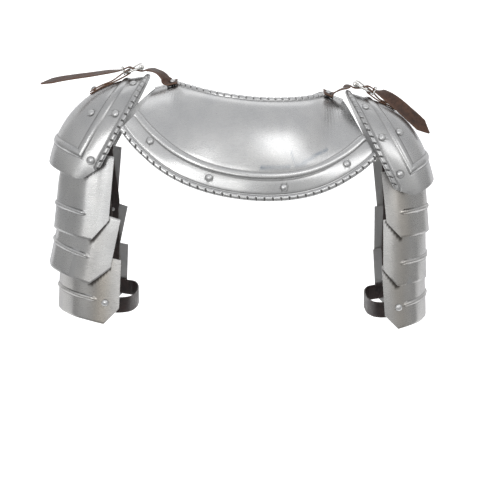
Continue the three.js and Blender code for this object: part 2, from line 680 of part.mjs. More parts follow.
// Arm band: from the lowest lame's back edge round the inner side of the arm to its front edge
function armBand(side) {
  const lame = lames.find((row) => row.side === side && row.n === 3);
  const s = carrierEnd;
  const out = carrierOut - 1;
  const depth = half + clear * 2 + carrierSlack + leatherThick * 1.5;
  const bulge = 21;
  const stationOn = (way, distance) => {
    const angle = way * lameAngle(lame, s, distance);
    const n = lameNormal(lame, s, angle);
    return { p: lamePoint(lame, s, angle).addScaledVector(n, -depth), n };
  };
  const halfWay = (way) => {
    const onPlate = [out + 10, out, 4].map((distance) => stationOn(way, distance));
    const { p } = onPlate[2];
    const inner = [30, 60, 80].map((angle) => {
      const a = rad(angle);
      const x = p.x - sides[side] * (4 + bulge * Math.sin(a));
      return { p: vec(x, way * Math.abs(p.y) * Math.cos(a) ** 0.8, p.z - 2 * Math.sin(a)),
        n: vec(-sides[side] * Math.sin(a), way * Math.cos(a), 0).normalize() };
    });
    return [...onPlate, ...inner];
  };
  const back = halfWay(-1);
  const front = halfWay(1).reverse();
  const far = vec(back[2].p.x - sides[side] * (4 + bulge), 0, back[2].p.z - 2);
  const middle = { p: far, n: vec(-sides[side], 0, 0) };
  const stations = smoothStations([...back, middle, ...front], 14);
  meshOf(`arm_band_${side}`, strip(stations, bandWide, leatherThick), darkLeather);
}

// Place of a buckle: x runs from the bar to the roller, z stands out from the shoulder
function buckleFrame(side) {
  const { bar, roller } = straps[side];
  const x = vec(sides[side] * (roller[0] - bar[0]), 0, roller[1] - bar[1]);
  const long = x.length();
  x.normalize();
  const z = vec(0, 1, 0).cross(x).multiplyScalar(-1);
  if (z.z < 0) z.negate();
  const y = vec().crossVectors(z, x);
  const matrix = new THREE.Matrix4().makeBasis(x, y, z).setPosition(sides[side] * bar[0], 0, bar[1]);
  return { matrix, long, x, z };
}

// Buckle: wire frame with a roller, its tongue, and a wire keeper behind the bar
function buckle(side) {
  const { matrix, long } = buckleFrame(side);
  const corner = 3;
  const outline = [];
  for (const [cx, cy, start] of [[long - corner, frameHalf - corner, 0], [corner, frameHalf - corner, 90],
    [corner, corner - frameHalf, 180], [long - corner, corner - frameHalf, 270]]) {
    for (const turn of [0, 45, 90]) {
      const a = rad(start + turn);
      outline.push(vec(cx + corner * Math.cos(a), cy + corner * Math.sin(a), 0));
    }
  }
  const ring = wireAlong(outline, vec(0, 0, 1), wire, 6, true);
  const rollerHalf = frameHalf - wire - 0.6;
  const rollerEnds = [vec(long, -rollerHalf, 0), vec(long, rollerHalf, 0)];
  const roller = wireAlong(rollerEnds, vec(0, 0, 1), rollerRadius, 10, false);
  const frame = solidOf(ring).add(solidOf(roller));
  meshOf(`buckle_frame_${side}`, geometryOf(frame).applyMatrix4(matrix), brightSteel);

  const wrap = wire + clear + tongueRadius;
  const rest = rollerRadius + clear + tongueRadius;
  const path = [305, 270, 235, 200].map((angle) => {
    const a = rad(angle);
    return vec(wrap * Math.cos(a), 0, wrap * Math.sin(a));
  });
  path.push(vec(-wrap, 0, 0.4), vec(-wrap * 0.7, 0, wrap * 0.7));
  path.push(vec(0, 0, wrap), vec(long * 0.5, 0, wrap + 1));
  path.push(vec(long - 2, 0, rest + 0.2), vec(long + 2.5, 0, rest - 0.3));
  const tongue = wireAlong(path, vec(0, 1, 0), tongueRadius, 6, false);
  meshOf(`buckle_tongue_${side}`, tongue.applyMatrix4(matrix), brightSteel);

  const loop = [];
  const low = keeperAt[1];
  const high = strapOver + leatherThick / 2 + clear + keeperWire + 1.4;
  const wide = strapWide / 2 + clear + keeperWire + 0.9;
  for (const [y, z] of [[-wide, low + 1], [-wide + 1, low], [wide - 1, low], [wide, low + 1],
    [wide, high - 1], [wide - 1, high], [-wide + 1, high], [-wide, high - 1]]) {
    loop.push(vec(keeperAt[0], y, z));
  }
  const keeper = wireAlong(loop, vec(1, 0, 0), keeperWire, 6, true);
  meshOf(`strap_keeper_${side}`, keeper.applyMatrix4(matrix), brightSteel);
}

// Chape: a leather folded round the buckle's bar, both ends riveted to the cop's ridge
function chape(side) {
  const { matrix } = buckleFrame(side);
  const name = `chape_${side}`;
  const [from, to] = straps[side].chape;
  const surface = (s, angle) => copPoint(side, s, angle);
  const away = { from: vec(sides[side] * 190, 0, -110), scale: 1 };
  const low = half + clear + leatherThick / 2;
  const onRidge = (s, height) => {
    const n = normalAt(surface, s, 0, away);
    return { p: surface(s, 0).addScaledVector(n, height), n };
  };
  const fold = [-90, -45, 0, 45, 90].map((angle) => {
    const a = rad(angle);
    const n = vec(Math.cos(a), 0, Math.sin(a)).transformDirection(matrix).negate();
    return { p: vec(foldRadius * Math.cos(a), 0, foldRadius * Math.sin(a)).applyMatrix4(matrix), n };
  });
  const middle = (from + to) / 2;
  const lower = [to, middle, from].map((s) => onRidge(s, low));
  const upper = [from, middle, to - 0.01].map((s) => onRidge(s, low + leatherThick + 0.5));
  upper.forEach((q) => q.n.negate());
  const stations = [...lower, ...fold, ...upper];
  let solid = solidOf(strip(stations, chapeWide, leatherThick));
  const slot = block(2 * foldRadius + 5, 2 * (tongueRadius + 0.5), 12, vec(0, 0, 0)).applyMatrix4(matrix);
  solid = solid.subtract(solidOf(slot));
  meshOf(name, geometryOf(solid), brownLeather);
  const { p, n } = onRidge(straps[side].chapeRivet, low);
  addRivet(`chape_rivet_${side}`, p, n, [`cop_${side}`, name], smallHead);
}

// Neck strap: riveted with the collar's ears, led under the roller, over the bar and out as a tail
function neckStrap(side) {
  const { matrix, long } = buckleFrame(side);
  const sign = sides[side];
  const name = `neck_strap_${side}`;
  const back = (t, s) => collarPoint(s, t, -1);
  const away = { from: vec(0, 0, -110), scale: 0.02 };
  const n = normalAt(back, ear.rivetT, sign * ear.rivetS, away);
  const seat = back(ear.rivetT, sign * ear.rivetS);
  const outward = vec(sign, 0, 0).projectOnPlane(n).normalize();
  const onEar = (out) => ({ n, p: seat.clone().addScaledVector(outward, out)
    .addScaledVector(n, ear.lift + half + clear * 2 + leatherThick / 2) });
  const local = (x, z, bend) => ({ p: vec(x, 0, z).applyMatrix4(matrix),
    n: vec(Math.sin(rad(bend)), 0, Math.cos(rad(bend))).transformDirection(matrix) });
  const world = ([x, z, y, roll]) => ({ p: vec(sign * x, y, z),
    n: vec(sign * 0.2 * Math.cos(rad(roll)), -Math.sin(rad(roll)), Math.cos(rad(roll))).normalize() });
  const stations = [
    onEar(-7),
    onEar(0),
    onEar(5.6),
    ...straps[side].root.map(world),
    local(long + 7, -strapUnder - 0.4, 0),
    local(long, -strapUnder, 0),
    local(long * 0.62, -1.2, 35),
    local(long * 0.2, strapOver - 0.2, 15),
    local(-2, strapOver, -4),
    local(-9, strapOver - 0.2, 0),
    ...straps[side].tail.map(world),
  ];
  const route = smoothStations(stations, 9);
  let solid = solidOf(strip(route, strapWide, leatherThick, tipLong));
  const slot = block(long * 0.8, 2 * (tongueRadius + 0.6), 14, vec(long * 0.4 - 1, 0, 2));
  slot.applyMatrix4(matrix);
  solid = solid.subtract(solidOf(slot));
  meshOf(name, geometryOf(solid), brownLeather);
  addRivet(`crest_rivet_${side}`, seat, n, ['collar_back', 'collar_front', name], smallHead);
}

collarBack();
collarFront();
for (const side of ['left', 'right']) {
  cop(side);
  lames.filter((lame) => lame.side === side).forEach(lameMesh);
  armBand(side);
  lameLeather(side, -1);
  lameLeather(side, 1);
  buckle(side);
  chape(side);
  neckStrap(side);
}

setRivets();

export default part;
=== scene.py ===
# Steel gorget with a laminated pauldron buckled on at each side, hand finished plate with
# roped edges. Sizes below are millimetres, meshes are made in metres.
import math
import bpy
import numpy as np
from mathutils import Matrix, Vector

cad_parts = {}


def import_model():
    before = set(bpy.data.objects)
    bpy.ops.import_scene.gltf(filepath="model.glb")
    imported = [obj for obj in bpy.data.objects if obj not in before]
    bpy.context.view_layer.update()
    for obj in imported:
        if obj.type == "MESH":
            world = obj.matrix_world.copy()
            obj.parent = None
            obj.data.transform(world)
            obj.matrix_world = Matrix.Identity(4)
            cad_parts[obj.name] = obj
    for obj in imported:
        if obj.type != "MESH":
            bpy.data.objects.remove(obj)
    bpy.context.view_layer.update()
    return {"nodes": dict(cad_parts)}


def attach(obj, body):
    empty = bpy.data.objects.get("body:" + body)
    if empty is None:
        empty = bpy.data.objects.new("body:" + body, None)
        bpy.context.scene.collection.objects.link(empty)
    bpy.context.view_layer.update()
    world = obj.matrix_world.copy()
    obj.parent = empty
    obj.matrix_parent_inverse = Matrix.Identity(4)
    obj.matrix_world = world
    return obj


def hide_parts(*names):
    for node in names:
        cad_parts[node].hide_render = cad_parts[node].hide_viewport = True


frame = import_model()
mm = 0.001
print("frame loaded:", len(frame["nodes"]), "nodes")

sideSign = {"left": -1, "right": 1}
sheetThick = 1.2
half = sheetThick / 2
leatherThick = 2.0
clear = 0.3


# Small maths

def vec(*v):
    return np.array(v, float)


def unit(a):
    return a / np.maximum(np.linalg.norm(a, axis=-1, keepdims=True), 1e-9)


def smoothStep(x, low, high):
    t = np.clip((np.asarray(x, float) - low) / (high - low), 0, 1)
    return t * t * (3 - 2 * t)


def bezier(points, t):
    t = np.asarray(t, float)[..., None]
    u = 1 - t
    weights = (u ** 3, 3 * u * u * t, 3 * u * t * t, t ** 3)
    return sum(w * np.asarray(p, float) for w, p in zip(weights, points))


def superRadius(angle, wide, deep, power):
    across = np.abs(np.cos(angle) / wide) ** power + np.abs(np.sin(angle) / deep) ** power
    return across ** (-1 / power)


def surfaceNormal(surface, u, v, away, stepV, stepU=0.004):  # turned away from a point inside
    du = surface(u + stepU, v) - surface(u - stepU, v)
    dv = surface(u, v + stepV) - surface(u, v - stepV)
    n = unit(np.cross(du, dv))
    flip = np.sum(n * (surface(u, v) - away), axis=-1) < 0
    return np.where(flip[..., None], -n, n)


def roundRidge(x, halfWide, power=0.75):  # a raised half round band with crisp feet
    return np.clip(1 - (x / halfWide) ** 2, 0, 1) ** power


def wobble(points, scale, seed, amount):  # slow unevenness of beaten plate
    rng = np.random.default_rng(seed)
    total = np.zeros(points.shape[:-1])
    for _ in range(9):
        wave = rng.normal(size=3) / scale
        total += np.sin(points @ wave + rng.uniform(0, 6.28))
    return amount * total / 3

# Materials

def grey(value):
    return (value, value, value)


def newMaterial(name):
    material = bpy.data.materials.new(name)
    material.use_nodes = True
    tree = material.node_tree
    return material, tree, tree.nodes["Principled BSDF"]


def setInputs(tree, node, inputs):  # each input takes a number, a colour or another node's output
    for key, value in inputs.items():
        socket = node.inputs[key]
        if isinstance(value, bpy.types.NodeSocket):
            tree.links.new(value, socket)
        else:
            socket.default_value = (*value, 1) if socket.type == "RGBA" else value


def addNode(tree, kind, inputs, **settings):
    node = tree.nodes.new(f"ShaderNode{kind}")
    for key, value in settings.items():
        setattr(node, key, value)
    setInputs(tree, node, inputs)
    return node


def noiseNode(tree, where, scale, detail=4.0, rough=0.55, stretch=None):
    if stretch:
        where = addNode(tree, "Mapping", {"Vector": where, "Scale": stretch}).outputs["Vector"]
    inputs = {"Vector": where, "Scale": scale, "Detail": detail, "Roughness": rough}
    return addNode(tree, "TexNoise", inputs).outputs["Fac"]


def rampNode(tree, value, stops):
    node = addNode(tree, "ValToRGB", {"Fac": value})
    elements = node.color_ramp.elements
    while len(elements) < len(stops):
        elements.new(0.5)
    for element, (place, colour) in zip(elements, stops):
        element.position = place
        element.color = (*colour, 1)
    return node.outputs["Color"]


def rangeNode(tree, value, low, high, toLow=0.0, toHigh=1.0):
    inputs = {"Value": value, "From Min": low, "From Max": high, "To Min": toLow, "To Max": toHigh}
    return addNode(tree, "MapRange", inputs).outputs["Result"]


def mathNode(tree, kind, a, b):
    return addNode(tree, "Math", {0: a, 1: b}, operation=kind).outputs["Value"]


def mixNode(tree, share, a, b, blend="MIX"):  # 6 and 7 are the colour inputs, 2 the colour output
    return addNode(tree, "Mix", {0: share, 6: a, 7: b}, data_type="RGBA", blend_type=blend).outputs[2]


def markNode(tree, name):
    return addNode(tree, "Attribute", {}, attribute_name=name).outputs["Fac"]


def addBump(tree, shader, layers):
    normal = {}
    for height, distance, strength in layers:
        inputs = {"Height": height, "Distance": distance, "Strength": strength, **normal}
        normal = {"Normal": addNode(tree, "Bump", inputs).outputs["Normal"]}
    setInputs(tree, shader, normal)


# The darkest colour tints the pits, and through the attribute mark it is also painted shade at the feet of
# raised parts
steelLook = {
    "light": (0.66, 0.66, 0.655), "shade": (0.60, 0.603, 0.605), "grimeAndShade": (0.13, 0.125, 0.12),
    "smear": (0.27, 0.31, 0.36), "warm": (0.90, 0.84, 0.76), "edgeTint": (0.6, 0.6, 0.61),
    "rough": (0.24, 0.34), "pits": 0.22, "dirt": 0.85, "dirtRough": 0.3,
    "wave": 0.0012, "hammer": 0.0001, "scratch": 0.000006,
}


def steelMaterial(name, tint=1.0, roughAdd=0.0, **changes):
    look = {**steelLook, **changes}
    material, tree, shader = newMaterial(name)
    where = tree.nodes.new("ShaderNodeTexCoord").outputs["Object"]
    broad = noiseNode(tree, where, 9, 3)
    cloud = noiseNode(tree, where, 38, 5, 0.6)
    fine = noiseNode(tree, where, 420, 4, 0.6)
    brushed = noiseNode(tree, where, 60, 4, 0.65, stretch=(1.2, 14, 22))
    crossed = noiseNode(tree, where, 90, 3, 0.6, stretch=(16, 9, 1.2))
    dirt, smear, warm = (markNode(tree, mark) for mark in ("grimeAndShade", "smear", "warm"))
    light, shade = (tuple(c * tint for c in look[key]) for key in ("light", "shade"))
    stained = rampNode(tree, cloud, [(0.34, shade), (0.62, light)])
    streaked = rampNode(tree, brushed, [(0.35, grey(0.95)), (0.7, grey(1))])
    base = mixNode(tree, 1.0, stained, streaked, "MULTIPLY")
    pits = rampNode(tree, fine, [(0.67, grey(0)), (0.74, grey(1))])
    pitted = mixNode(tree, mathNode(tree, "MULTIPLY", pits, look["pits"]), base, look["grimeAndShade"])
    # the attribute mark darkens the steel: painted shade at the feet of beads, ribs and rivets and under the
    # lame corners, plus darker file cuts and plate insides
    shadedAndDirty = mixNode(tree, mathNode(tree, "MULTIPLY", dirt, look["dirt"]), pitted, look["grimeAndShade"])
    broken = rampNode(tree, cloud, [(0.40, grey(0.35)), (0.56, grey(0.85))])
    smeared = mixNode(tree, mathNode(tree, "MULTIPLY", smear, broken), shadedAndDirty, look["smear"])
    warmed = mixNode(tree, 1.0, smeared, look["warm"], "MULTIPLY")
    low, high = look["rough"]
    patchy = rangeNode(tree, brushed, 0.3, 0.7, low + roughAdd, high + roughAdd)
    shadeAndDirtMarks = mathNode(tree, "MULTIPLY", dirt, look["dirtRough"])
    setInputs(tree, shader, {
        "Base Color": mixNode(tree, warm, smeared, warmed), "Metallic": 1.0,
        "Roughness": mathNode(tree, "ADD", patchy, shadeAndDirtMarks), "Specular Tint": look["edgeTint"]})
    addBump(tree, shader, [
        (broad, look["wave"], 0.5), (cloud, look["hammer"], 0.6),
        (brushed, look["scratch"] * 2, 0.5), (crossed, look["scratch"], 0.5)])
    return material


leatherLook = {
    "strap": {"deep": (0.042, 0.021, 0.014), "high": (0.130, 0.066, 0.043), "edge": (0.20, 0.115, 0.08),
              "rough": (0.42, 0.66)},
    "chape": {"deep": (0.060, 0.029, 0.018), "high": (0.175, 0.087, 0.055), "edge": (0.24, 0.135, 0.088),
              "rough": (0.45, 0.7)},
    "band": {"deep": (0.010, 0.006, 0.006), "high": (0.035, 0.020, 0.018), "edge": (0.05, 0.032, 0.027),
             "rough": (0.38, 0.6)},
}


def leatherMaterial(name, look):
    material, tree, shader = newMaterial(name)
    where = tree.nodes.new("ShaderNodeTexCoord").outputs["Object"]
    cloud = noiseNode(tree, where, 70, 5, 0.6)
    grain = addNode(tree, "TexVoronoi", {"Vector": where, "Scale": 950}).outputs["Distance"]
    pores = noiseNode(tree, where, 1500, 3, 0.6)
    crease = noiseNode(tree, where, 160, 5, 0.7, stretch=(2.2, 0.5, 2.2))
    body = rampNode(tree, cloud, [(0.3, look["deep"]), (0.68, look["high"])])
    creased = rampNode(tree, crease, [(0.32, (0.5, 0.47, 0.45)), (0.55, grey(1))])
    base = mixNode(tree, 1.0, body, creased, "MULTIPLY")
    setInputs(tree, shader, {
        "Base Color": mixNode(tree, markNode(tree, "edge"), base, look["edge"]),
        "Roughness": rangeNode(tree, cloud, 0.3, 0.7, *look["rough"]), "Specular IOR Level": 0.42})
    addBump(tree, shader, [(crease, 0.0006, 0.5), (grain, 0.00025, 0.5), (pores, 0.00012, 0.4)])
    return material


looks = {  # the material and the slot of each kind of piece
    "plate": (steelMaterial("handFinishedSteel"), "plate_steel"),
    # the cops and lames take a darker copy of the plate steel, painted shade for the darker surroundings
    # they reflect
    "arm": (steelMaterial("shadedArmPlateSteel", tint=0.84), "plate_steel"),
    "plain": (steelMaterial("plainSteelSheet", tint=0.94, roughAdd=0.04), "plate_steel"),
    "rivet": (steelMaterial("rivetSteel", 1.04, 0.06, wave=0.0, hammer=0.0003), "rivet_steel"),
    "buckle": (steelMaterial("platedWire", light=(0.80, 0.79, 0.76), shade=(0.60, 0.585, 0.56),
                             rough=(0.12, 0.26), wave=0.0), "buckle_metal"),
    "strap": (leatherMaterial("brownStrapLeather", leatherLook["strap"]), "strap_leather"),
    "chape": (leatherMaterial("paleStrapLeather", leatherLook["chape"]), "chape_leather"),
    "band": (leatherMaterial("blackStrapLeather", leatherLook["band"]), "dark_leather"),
}
print("materials ready:", len(looks))


# Mesh building

def addObject(name, data):
    made = bpy.data.objects.new(name, data)
    bpy.context.scene.collection.objects.link(made)
    return made


def nodeOf(name):  # the piece copRivet_left_2 stands for the node cop_rivet_left_2
    return "".join("_" + letter.lower() if letter.isupper() else letter for letter in name)


def makePiece(name, points, faces, look, marks=None, sharp=38, node=None):
    mesh = bpy.data.meshes.new(name)
    points = np.asarray(points, float)
    volume = 0.0
    for face in faces:
        a, b, c = points[face[:, 0]], points[face[:, 1]], points[face[:, 2]]
        volume += np.sum(a * np.cross(b, c))
        if face.shape[1] == 4:
            volume += np.sum(a * np.cross(c, points[face[:, 3]]))
    turned = [face[:, ::-1] if volume < 0 else face for face in faces]
    loops = np.concatenate([face.ravel() for face in turned]).astype(np.int32)
    counts = np.concatenate([np.full(len(face), face.shape[1]) for face in turned]).astype(np.int32)
    starts = np.concatenate([[0], np.cumsum(counts)[:-1]]).astype(np.int32)
    mesh.vertices.add(len(points))
    mesh.vertices.foreach_set("co", (points * mm).astype(np.float32).ravel())
    mesh.loops.add(len(loops))
    mesh.loops.foreach_set("vertex_index", loops)
    mesh.polygons.add(len(counts))
    mesh.polygons.foreach_set("loop_start", starts)
    mesh.polygons.foreach_set("loop_total", counts)
    mesh.update(calc_edges=True)
    mesh.validate()
    mesh.polygons.foreach_set("use_smooth", np.ones(len(mesh.polygons), bool))
    mesh.set_sharp_from_angle(angle=math.radians(sharp))
    for mark, values in (marks or {}).items():
        attribute = mesh.attributes.new(mark, "FLOAT", "POINT")
        attribute.data.foreach_set("value", np.asarray(values, np.float32))
    material, slot = looks[look]
    mesh.materials.append(material)
    piece = addObject(name, mesh)
    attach(piece, "root")
    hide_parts(node or nodeOf(name))
    return piece


def gridFaces(rows, columns, start=0, loopRows=False, loopColumns=False):
    r = np.arange(rows if loopRows else rows - 1)
    c = np.arange(columns if loopColumns else columns - 1)
    a, b = np.meshgrid(r, c, indexing="ij")
    a, b = a.ravel(), b.ravel()
    an, bn = (a + 1) % rows, (b + 1) % columns
    return start + np.stack([a * columns + b, a * columns + bn, an * columns + bn, an * columns + b], 1)


def zipEdges(left, leftAt, right, rightAt):  # triangles between two runs of points
    faces, i, j = [], 0, 0
    while i < len(left) - 1 or j < len(right) - 1:
        first = j == len(right) - 1 or (i < len(left) - 1 and leftAt[i + 1] <= rightAt[j + 1])
        if first:
            faces.append([left[i], left[i + 1], right[j]])
            i += 1
        else:
            faces.append([left[i], right[j + 1], right[j]])
            j += 1
    return np.array(faces)


def shell(outer, inner):  # closed sheet from an outer and an inner grid with the same columns
    rows, columns = outer.shape[:2]
    innerRows = len(inner)
    base = rows * columns
    points = np.concatenate([outer.reshape(-1, 3), inner.reshape(-1, 3)])
    c = np.arange(columns - 1)
    first = np.stack([c, base + c, base + c + 1, c + 1], 1)
    lastOut, lastIn = (rows - 1) * columns, base + (innerRows - 1) * columns
    last = np.stack([lastOut + c, lastOut + c + 1, lastIn + c + 1, lastIn + c], 1)
    faces = [gridFaces(rows, columns), gridFaces(innerRows, columns, base)[:, ::-1], first, last]
    for column in (0, columns - 1):
        out = np.arange(rows) * columns + column
        into = base + np.arange(innerRows) * columns + column
        runOut, runIn = runAlong(points[out]), runAlong(points[into])
        side = zipEdges(out, runOut / runOut[-1], into, runIn / runIn[-1])
        faces.append(side if column else side[:, ::-1])
    return points, faces


def tube(rings, first, last):  # closed tube through rings of points, with a point in the middle of each end
    rows, count = rings.shape[:2]
    c = np.arange(count)
    after = (c + 1) % count
    end = (rows - 1) * count
    points = np.concatenate([rings.reshape(-1, 3), [first, last]])
    faces = [gridFaces(rows, count, loopColumns=True),
             np.stack([np.full(count, rows * count), after, c], 1),
             np.stack([np.full(count, rows * count + 1), end + c, end + after], 1)]
    return points, faces


def platePiece(name, node, look, grid, normal, relief, under, marks):
    # relief stands out of the plate, under is what its inside follows, marks are (outside, inside)
    keep = np.union1d(np.arange(0, len(grid), 2), [len(grid) - 1])
    inner = grid[keep] + normal[keep] * (under[keep] - half)[..., None]
    points, faces = shell(grid + normal * (half + relief)[..., None], inner)
    inside = inner[..., 0].size
    shadeAndDirtMarks = {mark: np.concatenate([out.ravel(), np.full(inside, value)])
            for mark, (out, value) in marks.items()}
    makePiece(name, points, faces, look, shadeAndDirtMarks, node=node)


def edgeInsets(surface, columns, edge, line, steps=90):
    # the place on each column at a distance from one edge, and the distance of such places
    share = np.linspace(edge, 1 - edge, steps)
    rim = surface(np.full(len(line), edge), line)
    table = np.zeros((steps, len(columns)))
    for k, s in enumerate(share):
        here = surface(np.full(len(columns), s), columns)
        table[k] = np.linalg.norm(here[:, None, :] - rim[None, :, :], axis=2).min(axis=1)
    table[0] = 0
    table = np.maximum.accumulate(table, axis=0) + np.arange(steps)[:, None] * 1e-6
    order = np.argsort(share)

    def placeAt(inset):
        return np.array([np.interp(inset, gaps, share) for gaps in table.T])

    def insetOf(places):
        return np.stack([np.interp(place, share[order], gaps[order])
                         for place, gaps in zip(places.T, table.T)], 1)
    return placeAt, insetOf


def runAlong(points):
    return np.concatenate([[0], np.cumsum(np.linalg.norm(np.diff(points, axis=0), axis=1))])


def evenSpread(surface, place, start, end, pitch):  # columns spaced evenly by length along an edge
    fine = np.linspace(start, end, 1601)
    run = runAlong(surface(np.full(len(fine), place), fine))
    count = int(round(run[-1] / pitch))
    return np.interp(np.linspace(0, run[-1], count + 1), run, fine)


def edgeRun(surface, place, columns):
    return runAlong(surface(np.full(len(columns), place), columns))


def between(a, b, shares):
    return [a + (b - a) * share for share in shares]


def inOrder(places):  # rows sorted down each column, never quite on each other
    places = np.sort(places, axis=0)
    return places + np.linspace(0, 1, len(places))[:, None] * 1e-6


def edgeLip(*insets):  # the sheet's edges are eased a little
    return 0.3 * (1 - smoothStep(np.minimum(*insets), 0, 0.6))


# Roped edges. The roll is half round and is cut across by slanted file cuts.
rope = {"wide": 8.0, "high": 3.2, "notchDeep": 2.0, "notchHalf": 1.5, "slant": 0.32,
        "groove": 0.35, "grooveAt": 9.2}
ropeRows = [0, 0.25, 0.7, 1.3, 2, 2.8, 3.6, 4.4, 5.2, 6, 6.8, 7.4, 8, 8.6, 9.2, 9.8, 10.6]
beadWide, beadHigh = 11.0, 2.4


def ropeRelief(inset, run, pitch, strength, full=4.4, gone=6.8):
    x = (inset - rope["wide"] * 0.45) / (rope["wide"] * 0.55)
    roll = rope["high"] * np.clip(1 - x * x, 0, 1) ** 0.6
    place = (run + rope["slant"] * inset + pitch / 2) % pitch - pitch / 2
    reach = 1 - smoothStep(inset, full, gone)
    cut = np.clip(1 - np.abs(place) / rope["notchHalf"], 0, 1) * reach
    groove = rope["groove"] * np.clip(1 - np.abs(inset - rope["grooveAt"]) / 0.9, 0, 1)
    relief = strength * (roll - rope["notchDeep"] * cut * (roll > 0.4) - groove)
    # the file cuts and the groove are drawn darker
    grimeAndShade = strength * np.clip(0.95 * cut + 0.5 * (groove / rope["groove"]), 0, 1)
    return relief, grimeAndShade


def beadRelief(offset):
    ridge = roundRidge(offset, beadWide / 2)
    # the second value is painted shade along both feet of the bead
    foot = np.clip(1 - np.abs(np.abs(offset) - beadWide / 2 - 0.3) / 0.9, 0, 1)
    return beadHigh * ridge - 0.25 * foot, 0.65 * foot


# Collar: a back plate with a roped neck and rim, and a plain front plate
collar = {
    "neckX": 101.5, "neckY": 58, "neckDrop": 11, "throatDrop": 34, "neckLevel": 6.2, "crestS": 0.68,
    "cornerX": 133, "cornerDrop": 9.6, "rimX": 178, "rimY": 122, "sideY": 88, "rimDrop": 145.4,
    "rimCurve": 43, "rimCurve4": 31.2, "pull": 45, "pullEnd": 31, "drop": 0.25, "dropEnd": 0.15,
    "fan": 0.35, "fanEnd": 0.15, "upMid": 60, "upEnd": 26, "tuck": 23.5, "roll": 6.6, "yaw": 4,
    "shift": (0.8, 0, -0.8), "middle": (0, 0, -110), "beadInset": 33.5, "rimPitch": 11.5, "neckPitch": 10,
    "rivets": [(-0.8, 22), (-0.288, 20), (0.288, 18), (0.8, 20)],
    "fine": 0.75,
    "smears": [((14.4, -101.5), (53.5, -100.2), 2.4), ((54.9, -80.2), (60.3, -97.5), 1.5),
               ((62, -99), (75, -99.5), 5.0), ((71, -96.2), (104.8, -80.2), 3.4)],
}


def collarPoint(s, t, way):  # the plate, with the crease at the crest eased out a little way down
    s, t = np.broadcast_arrays(np.asarray(s, float), np.asarray(t, float))
    reach = np.minimum(0.2 * smoothStep(t, 0, 0.26), 1 - np.abs(s))
    shares = np.linspace(-1, 1, 9)
    weights = 1 - shares ** 2 * 0.9
    total = sum(w * collarForm(s + reach * q, t, way) for q, w in zip(shares, weights))
    return total / weights.sum()


def collarForm(s, t, way):
    c = collar
    a, sign = np.abs(s), np.sign(s)
    turn = np.minimum(a / c["crestS"], 1) * np.pi / 2
    along = np.maximum((a - c["crestS"]) / (1 - c["crestS"]), 0)
    neckDrop = c["neckDrop"] if way < 0 else c["throatDrop"]
    edge = np.stack([
        sign * (c["neckX"] * np.sin(turn) + (c["cornerX"] - c["neckX"]) * along),
        c["neckY"] * np.cos(turn),
        c["neckLevel"] * s - neckDrop * np.cos(turn) ** 2 - c["cornerDrop"] * along], -1)
    rim = np.stack([
        c["rimX"] * s, c["rimY"] - (c["rimY"] - c["sideY"]) * s * s,
        -c["rimDrop"] + c["rimCurve"] * s * s + c["rimCurve4"] * s ** 4], -1)
    pull = c["pull"] + (c["pullEnd"] - c["pull"]) * a * a
    fan = c["fan"] * np.sin(np.pi * a) + c["fanEnd"] * a * a
    leave = edge + np.stack([
        pull * sign * fan, pull, -pull * (c["drop"] + (c["dropEnd"] - c["drop"]) * a * a)], -1)
    arrive = rim + np.stack([-c["tuck"] * s * a, 0 * s, c["upMid"] + (c["upEnd"] - c["upMid"]) * a * a], -1)
    p = bezier([edge, leave, arrive, rim], t)
    x, y, z = p[..., 0], way * p[..., 1], p[..., 2]
    roll, yaw = math.radians(c["roll"]), math.radians(c["yaw"])
    x, z = x * math.cos(roll) + z * math.sin(roll), -x * math.sin(roll) + z * math.cos(roll)
    x, y = x * math.cos(yaw) - y * math.sin(yaw), x * math.sin(yaw) + y * math.cos(yaw)
    return np.stack([x, y, z], -1) + vec(*c["shift"])


def collarSheet(way):
    return lambda t, s: collarPoint(s, t, way)


def collarNormal(sheet, t, s):
    return surfaceNormal(sheet, t, s, vec(*collar["middle"]), 0.004)


def collarSpot(t, s):  # a point on the back plate, and its normal
    sheet = collarSheet(-1)
    return sheet(t, s), collarNormal(sheet, vec(t), vec(s))[0]


def smearMarks(points):  # grey polish smears on the field of the back plate
    marks = np.zeros(points.shape[:-1])
    for (x0, z0), (x1, z1), wide in collar["smears"]:
        a, b = vec(x0, z0), vec(x1, z1)
        here = points[..., [0, 2]] - a
        t = np.clip(here @ (b - a) / ((b - a) @ (b - a)), 0, 1)
        gap = np.linalg.norm(here - t[..., None] * (b - a), axis=-1)
        marks = np.maximum(marks, (1 - smoothStep(gap, 0, wide)) * (points[..., 1] < 0))
    return marks


rivetFoot = {"radius": 5.3, "wide": 1.3, "dark": 0.9}


def rivetRings(grid, centres):  # painted shade round the foot of each rivet head
    ring = np.zeros(grid.shape[:-1])
    for centre in centres:
        off = np.abs(np.linalg.norm(grid - centre, axis=-1) - rivetFoot["radius"])
        ring = np.maximum(ring, rivetFoot["dark"] * np.clip(1 - off / rivetFoot["wide"], 0, 1))
    return ring


def collarRivetPlaces():
    places = []
    for s, inset in collar["rivets"]:
        atRim, _ = edgeInsets(collarSheet(-1), vec(s), 1.0, np.linspace(-1, 1, 121))
        places.append((atRim(inset)[0], s))
    return places


